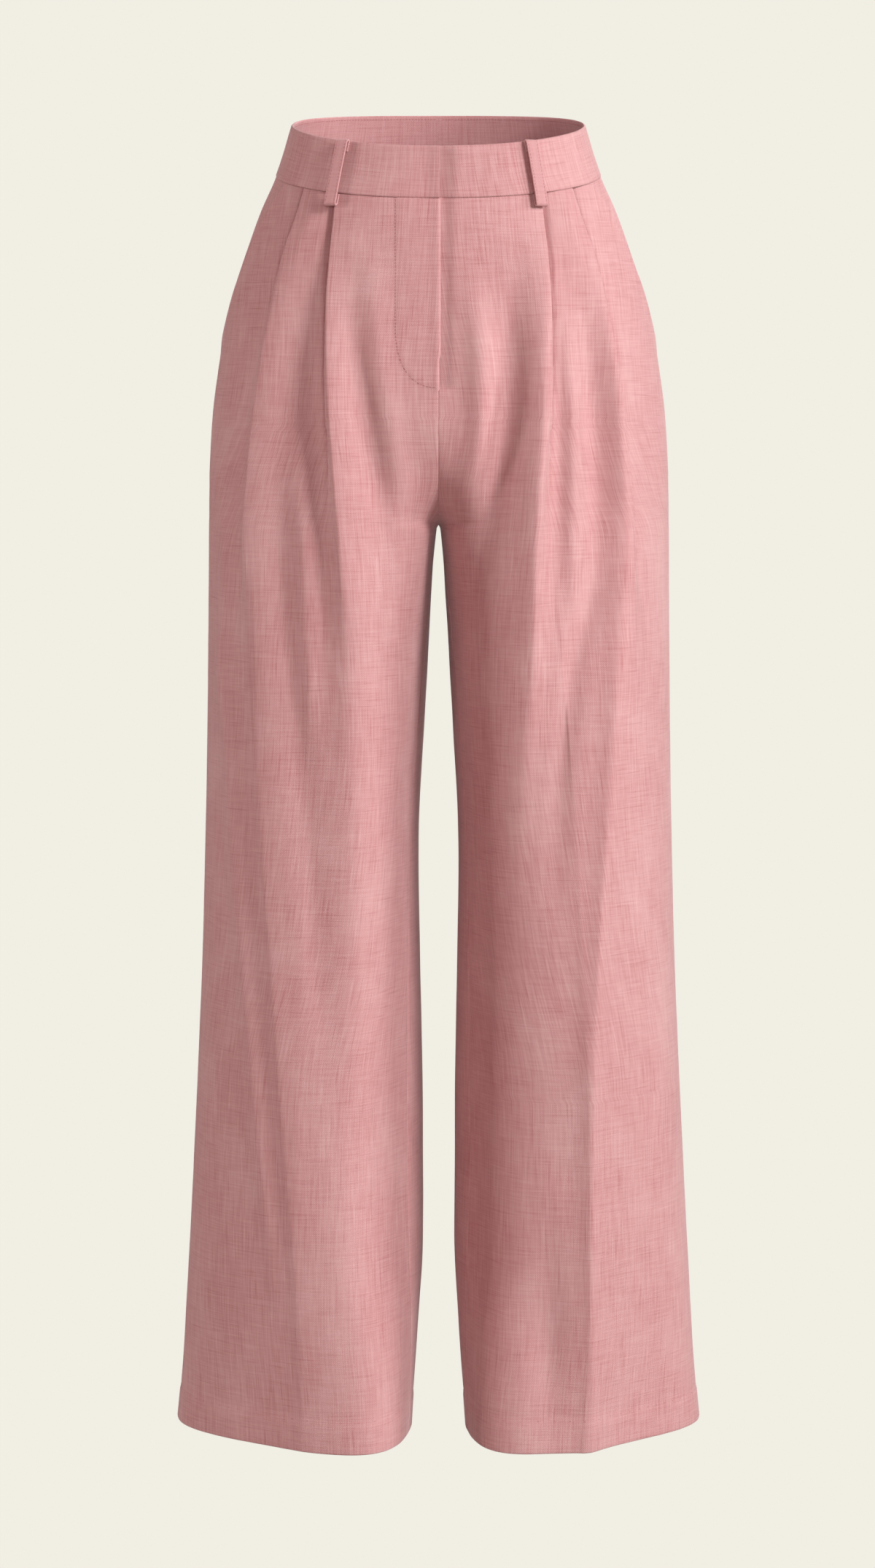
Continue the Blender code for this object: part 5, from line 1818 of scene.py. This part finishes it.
class Surface:
    """A finished piece's surface, to find places on it."""

    def __init__(self, piece: bpy.types.Object) -> None:
        """Reads the piece's mesh."""
        points = [vertex.co for vertex in piece.data.vertices]
        self.tree = BVHTree.FromPolygons(points, [tuple(face.vertices) for face in piece.data.polygons])

    def hits(self, starts: Array, ways: Array) -> tuple[Array, Array]:
        """Where lines meet the piece first.

        Args:
            starts: (n, 3) places to start from.
            ways: (n, 3) directions.

        Returns:
            The places met and the surface's directions there, turned against the lines.
        """
        found, normals = [], []
        for start, way in zip(starts, ways):
            place, normal, _index, _distance = self.tree.ray_cast(Vector(start), Vector(way))
            if place is None:
                continue
            found.append(place[:])
            normals.append((normal if normal.dot(Vector(way)) < 0 else -normal)[:])
        return np.array(found), np.array(normals)


@dataclass
class Stitching:
    """All the stitching that shows."""

    stitcher: Stitcher
    far: float = 0.5
    fly_top: float = 0.024
    fly_size: float = 0.85
    line_points: int = 30
    curve_turns: tuple[float, float, int] = (2, 88, 40)
    facing_below: float = 0.0026
    facing_from: float = 0.02
    facing_stations: tuple[float, float, int] = (0.12, 1.99, 260)
    facing_size: float = 0.9
    loop_size: float = 0.7
    hem_dots: int = 60
    hem_size: float = 0.55
    leg_middle: float = 0.122
    least_radius: float = 0.04
    prick_reach: float = 0.0014

    def fly(self, panel: FrontPanel, piece: bpy.types.Object) -> None:
        """Sews the fly's J line on the wearer's right front."""
        drops = np.linspace(self.fly_top, panel.fly_turn_drop, self.line_points)
        straight = [(panel.fly_stitch_x, drop) for drop in drops]
        power = 2 / panel.fly_square
        curve = []
        for angle in np.radians(np.linspace(*self.curve_turns)):
            x = panel.fly_stitch_x * math.cos(angle) ** power
            drop = panel.fly_turn_drop + panel.fly_curve * math.sin(angle) ** power
            curve.append((x, drop))
        spots = np.array(straight + curve)
        starts = np.column_stack((-spots[:, 0], np.full(len(spots), -self.far), -spots[:, 1]))
        ways = np.tile((0.0, 1.0, 0.0), (len(spots), 1))
        line, outward = Surface(piece).hits(starts, ways)
        self._finish("fly_stitching", [(line, outward)], Slot.TWILL, self.fly_size)

    def facing(self, band: Waistband, piece: bpy.types.Object) -> None:
        """Sews the understitching just below the facing's top edge."""
        station = np.linspace(*self.facing_stations)
        z = band.seam(station) + band.height - self.facing_below
        middle = band.spots(station, z, self.facing_from, lifted=False)
        outer = band.spots(station, z, 0.0, lifted=False)
        ways = outer - middle
        line, outward = Surface(piece).hits(middle, ways / np.linalg.norm(ways, axis=1)[:, None])
        self._finish(f"facing_stitching_{band.side.word}", [(line, outward)], Slot.INSIDE, self.facing_size)

    def loops(self, loops: Sequence[BeltLoop]) -> None:
        """Sews both edges of every belt loop."""
        for loop in loops:
            centre, _along, across, normal = loop.frames()
            lift = loop.cloth / 2 - loop.channel_depth
            runs = []
            for way in (-1, 1):
                line = centre + across * way * (loop.width / 2 - loop.channel) + normal * lift
                runs.append((line, normal))
            self._finish(loop.name + "_stitching", runs, Slot.LOOP, self.loop_size)

    def hem(self, side: Side, panel: Panel, pieces: Sequence[bpy.types.Object]) -> None:
        """Sews the hem's blind stitches, one prick at a time, all round a leg."""
        z = -(panel.pattern.hem_drop - panel.hem_turn_up)
        angles = np.linspace(0, 2 * math.pi, self.hem_dots, endpoint=False)
        centre = np.array((side.value * self.leg_middle, 0.0, z))
        outward = np.column_stack((np.cos(angles), np.sin(angles), np.zeros(len(angles))))
        starts = centre + outward * self.far
        lines = []
        for piece in pieces:
            surface = Surface(piece)
            for start, way in zip(starts, -outward):
                spot, normal = surface.hits(start[None], way[None])
                if len(spot) and np.linalg.norm(spot[0] - centre) > self.least_radius:
                    level = np.cross(normal[0], (0.0, 0.0, 1.0))
                    level /= np.linalg.norm(level)
                    ends = np.array([spot[0] + level * at for at in (-self.prick_reach, self.prick_reach)])
                    lines.append((ends, np.repeat(normal, 2, axis=0)))
        self._finish(f"hem_stitching_{side.word}", lines, Slot.TWILL, self.hem_size)

    def _finish(self, name: str, runs: Sequence[tuple[Array, Array]], slot: Slot, size: float) -> None:
        """Sews the runs and hands the piece over."""
        Meshes.hand_over(self.stitcher.sew(name, runs, size), slot)


@dataclass(frozen=True)
class SoftBox:
    """A rectangular studio light."""

    name: str
    place: tuple[float, float, float]
    width: float
    height: float
    watts: float
    colour: tuple[float, float, float] = (1.0, 1.0, 1.0)

    def build(self, aim: Vector) -> None:
        """Hangs the light, turned towards a place."""
        light = bpy.data.lights.new(self.name, "AREA")
        light.shape = "RECTANGLE"
        light.size, light.size_y = self.width, self.height
        light.energy = self.watts
        light.color = self.colour
        lamp = bpy.data.objects.new(self.name, light)
        lamp.location = self.place
        lamp.rotation_euler = (aim - Vector(self.place)).to_track_quat("-Z", "Y").to_euler()
        bpy.context.scene.collection.objects.link(lamp)


@dataclass
class Studio:
    """The plain pale floor and surround, soft light, and the camera at the photograph's angle."""

    floor_z: float = -2.2
    floor_size: float = 60.0
    paper: tuple[float, float, float] = (0.880, 0.855, 0.775)
    surround_strength: float = 0.22
    surround_light: tuple[float, float, float] = (0.98, 0.58, 0.52)
    floor_colour: tuple[float, float, float] = (0.45, 0.43, 0.40)
    camera_place: tuple[float, float, float] = (-0.0008, -3.10, -0.17829)
    camera_tilt: float = 83.88
    lens: float = 84.25
    aim: tuple[float, float, float] = (0.0, 0.0, -0.5)
    lights: tuple[SoftBox, ...] = (
        SoftBox("key", (2.6, -2.4, 1.3), 0.9, 1.2, 120.0, (0.98, 1.0, 1.0)),
        SoftBox("side", (3.4, -0.9, 1.0), 0.9, 1.6, 55.0, (0.96, 1.0, 1.0)),
        SoftBox("front", (0.1, -3.9, 0.2), 1.2, 1.3, 32.0),
        SoftBox("fill", (-3.6, -0.7, 0.4), 0.8, 2.0, 50.0, (1.0, 0.97, 0.95)),
        SoftBox("back", (0.8, 2.8, 1.2), 1.8, 2.2, 45.0),
    )

    def build(self) -> None:
        """Sets up everything round the trousers."""
        scene = bpy.context.scene
        scene.view_settings.view_transform = "Standard"
        self._floor()
        self._world()
        for light in self.lights:
            light.build(Vector(self.aim))
        data = bpy.data.cameras.new("camera")
        data.lens = self.lens
        camera = bpy.data.objects.new("camera", data)
        camera.location = self.camera_place
        camera.rotation_euler = (math.radians(self.camera_tilt), 0.0, 0.0)
        scene.collection.objects.link(camera)
        scene.camera = camera

    def _floor(self) -> None:
        """A wide pale floor, seen as evenly lit paper."""
        bpy.ops.object.select_all(action="DESELECT")
        bpy.ops.mesh.primitive_plane_add(size=self.floor_size, location=(0, 0, self.floor_z))
        floor = bpy.context.active_object
        floor.name = "floor"
        material = bpy.data.materials.new("pale_paper")
        material.use_nodes = True
        desk = NodeDesk(material.node_tree)
        shader = material.node_tree.nodes["Principled BSDF"]
        shader.inputs["Base Color"].default_value = (*self.floor_colour, 1.0)
        shader.inputs["Specular IOR Level"].default_value = 0.0
        glow = desk.add("ShaderNodeEmission", {"Color": (*self.paper, 1.0)})
        seen = desk.add("ShaderNodeLightPath").outputs["Is Camera Ray"]
        both = desk.add("ShaderNodeMixShader", {0: seen, 1: shader.outputs[0], 2: glow.outputs[0]})
        output = material.node_tree.nodes["Material Output"]
        material.node_tree.links.new(both.outputs[0], output.inputs["Surface"])
        floor.data.materials.append(material)

    def _world(self) -> None:
        """A surround that looks like paper, and lights the cloth dimly and warmly from all round."""
        world = bpy.data.worlds.new("surround")
        world.use_nodes = True
        desk = NodeDesk(world.node_tree)
        glow = world.node_tree.nodes["Background"]
        glow.inputs["Color"].default_value = (*self.surround_light, 1.0)
        glow.inputs["Strength"].default_value = self.surround_strength
        paper = desk.add("ShaderNodeBackground", {"Color": (*self.paper, 1.0)})
        seen = desk.add("ShaderNodeLightPath").outputs["Is Camera Ray"]
        both = desk.add("ShaderNodeMixShader", {0: seen, 1: glow.outputs[0], 2: paper.outputs[0]})
        world.node_tree.links.new(both.outputs[0], world.node_tree.nodes["World Output"].inputs["Surface"])
        bpy.context.scene.world = world


@dataclass
class Trousers:
    """The whole garment."""

    pattern: Pattern
    drape: Drape
    materials: Materials
    loop_rows: tuple[tuple[str, Face, Side, float, float], ...] = (
        ("belt_loop_front_left", Face.FRONT, Side.LEFT, 0.0730, 0.0820),
        ("belt_loop_front_right", Face.FRONT, Side.RIGHT, 0.0755, 0.0860),
        ("belt_loop_back_left", Face.BACK, Side.LEFT, 0.0740, 0.0770),
        ("belt_loop_back_right", Face.BACK, Side.RIGHT, 0.0740, 0.0770),
        ("belt_loop_back_centre", Face.BACK, Side.LEFT, 0.0, 0.0),
    )

    def build(self) -> None:
        """Makes every piece in order."""
        stitching = Stitching(Stitcher(self.materials["thread"]))
        for side in Side:
            front = FrontPanel(side, self.pattern, self.drape)
            back = BackPanel(side, self.pattern, self.drape)
            sewn = []
            for panel in (front, back):
                piece = panel.build()
                panel.dress(piece, self.materials)
                sewn.append(piece)
            pocket = PocketSide(front)
            pocket.dress(pocket.build(), self.materials)
            band = Waistband(side, self.pattern)
            outer, facing = band.build()
            band.dress(outer, facing, self.materials)
            if side is Side.RIGHT:
                stitching.fly(front, sewn[0])
            stitching.facing(band, facing)
            stitching.hem(side, front, sewn)
        shield = FlyShield(self.pattern)
        shield.dress(shield.build(), self.materials)
        loops = [BeltLoop(*row, self.pattern) for row in self.loop_rows]
        for loop in loops:
            loop.dress(loop.build(), self.materials)
        stitching.loops(loops)


def main() -> None:
    """Loads the frame, makes the trousers round it and lights them."""
    logging.basicConfig(level=logging.INFO, format="%(name)s: %(message)s")
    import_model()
    Studio().build()
    Trousers(Pattern(), Drape(), Finishes().build()).build()
    bpy.ops.object.select_all(action="DESELECT")


if __name__ == "__main__":
    main()
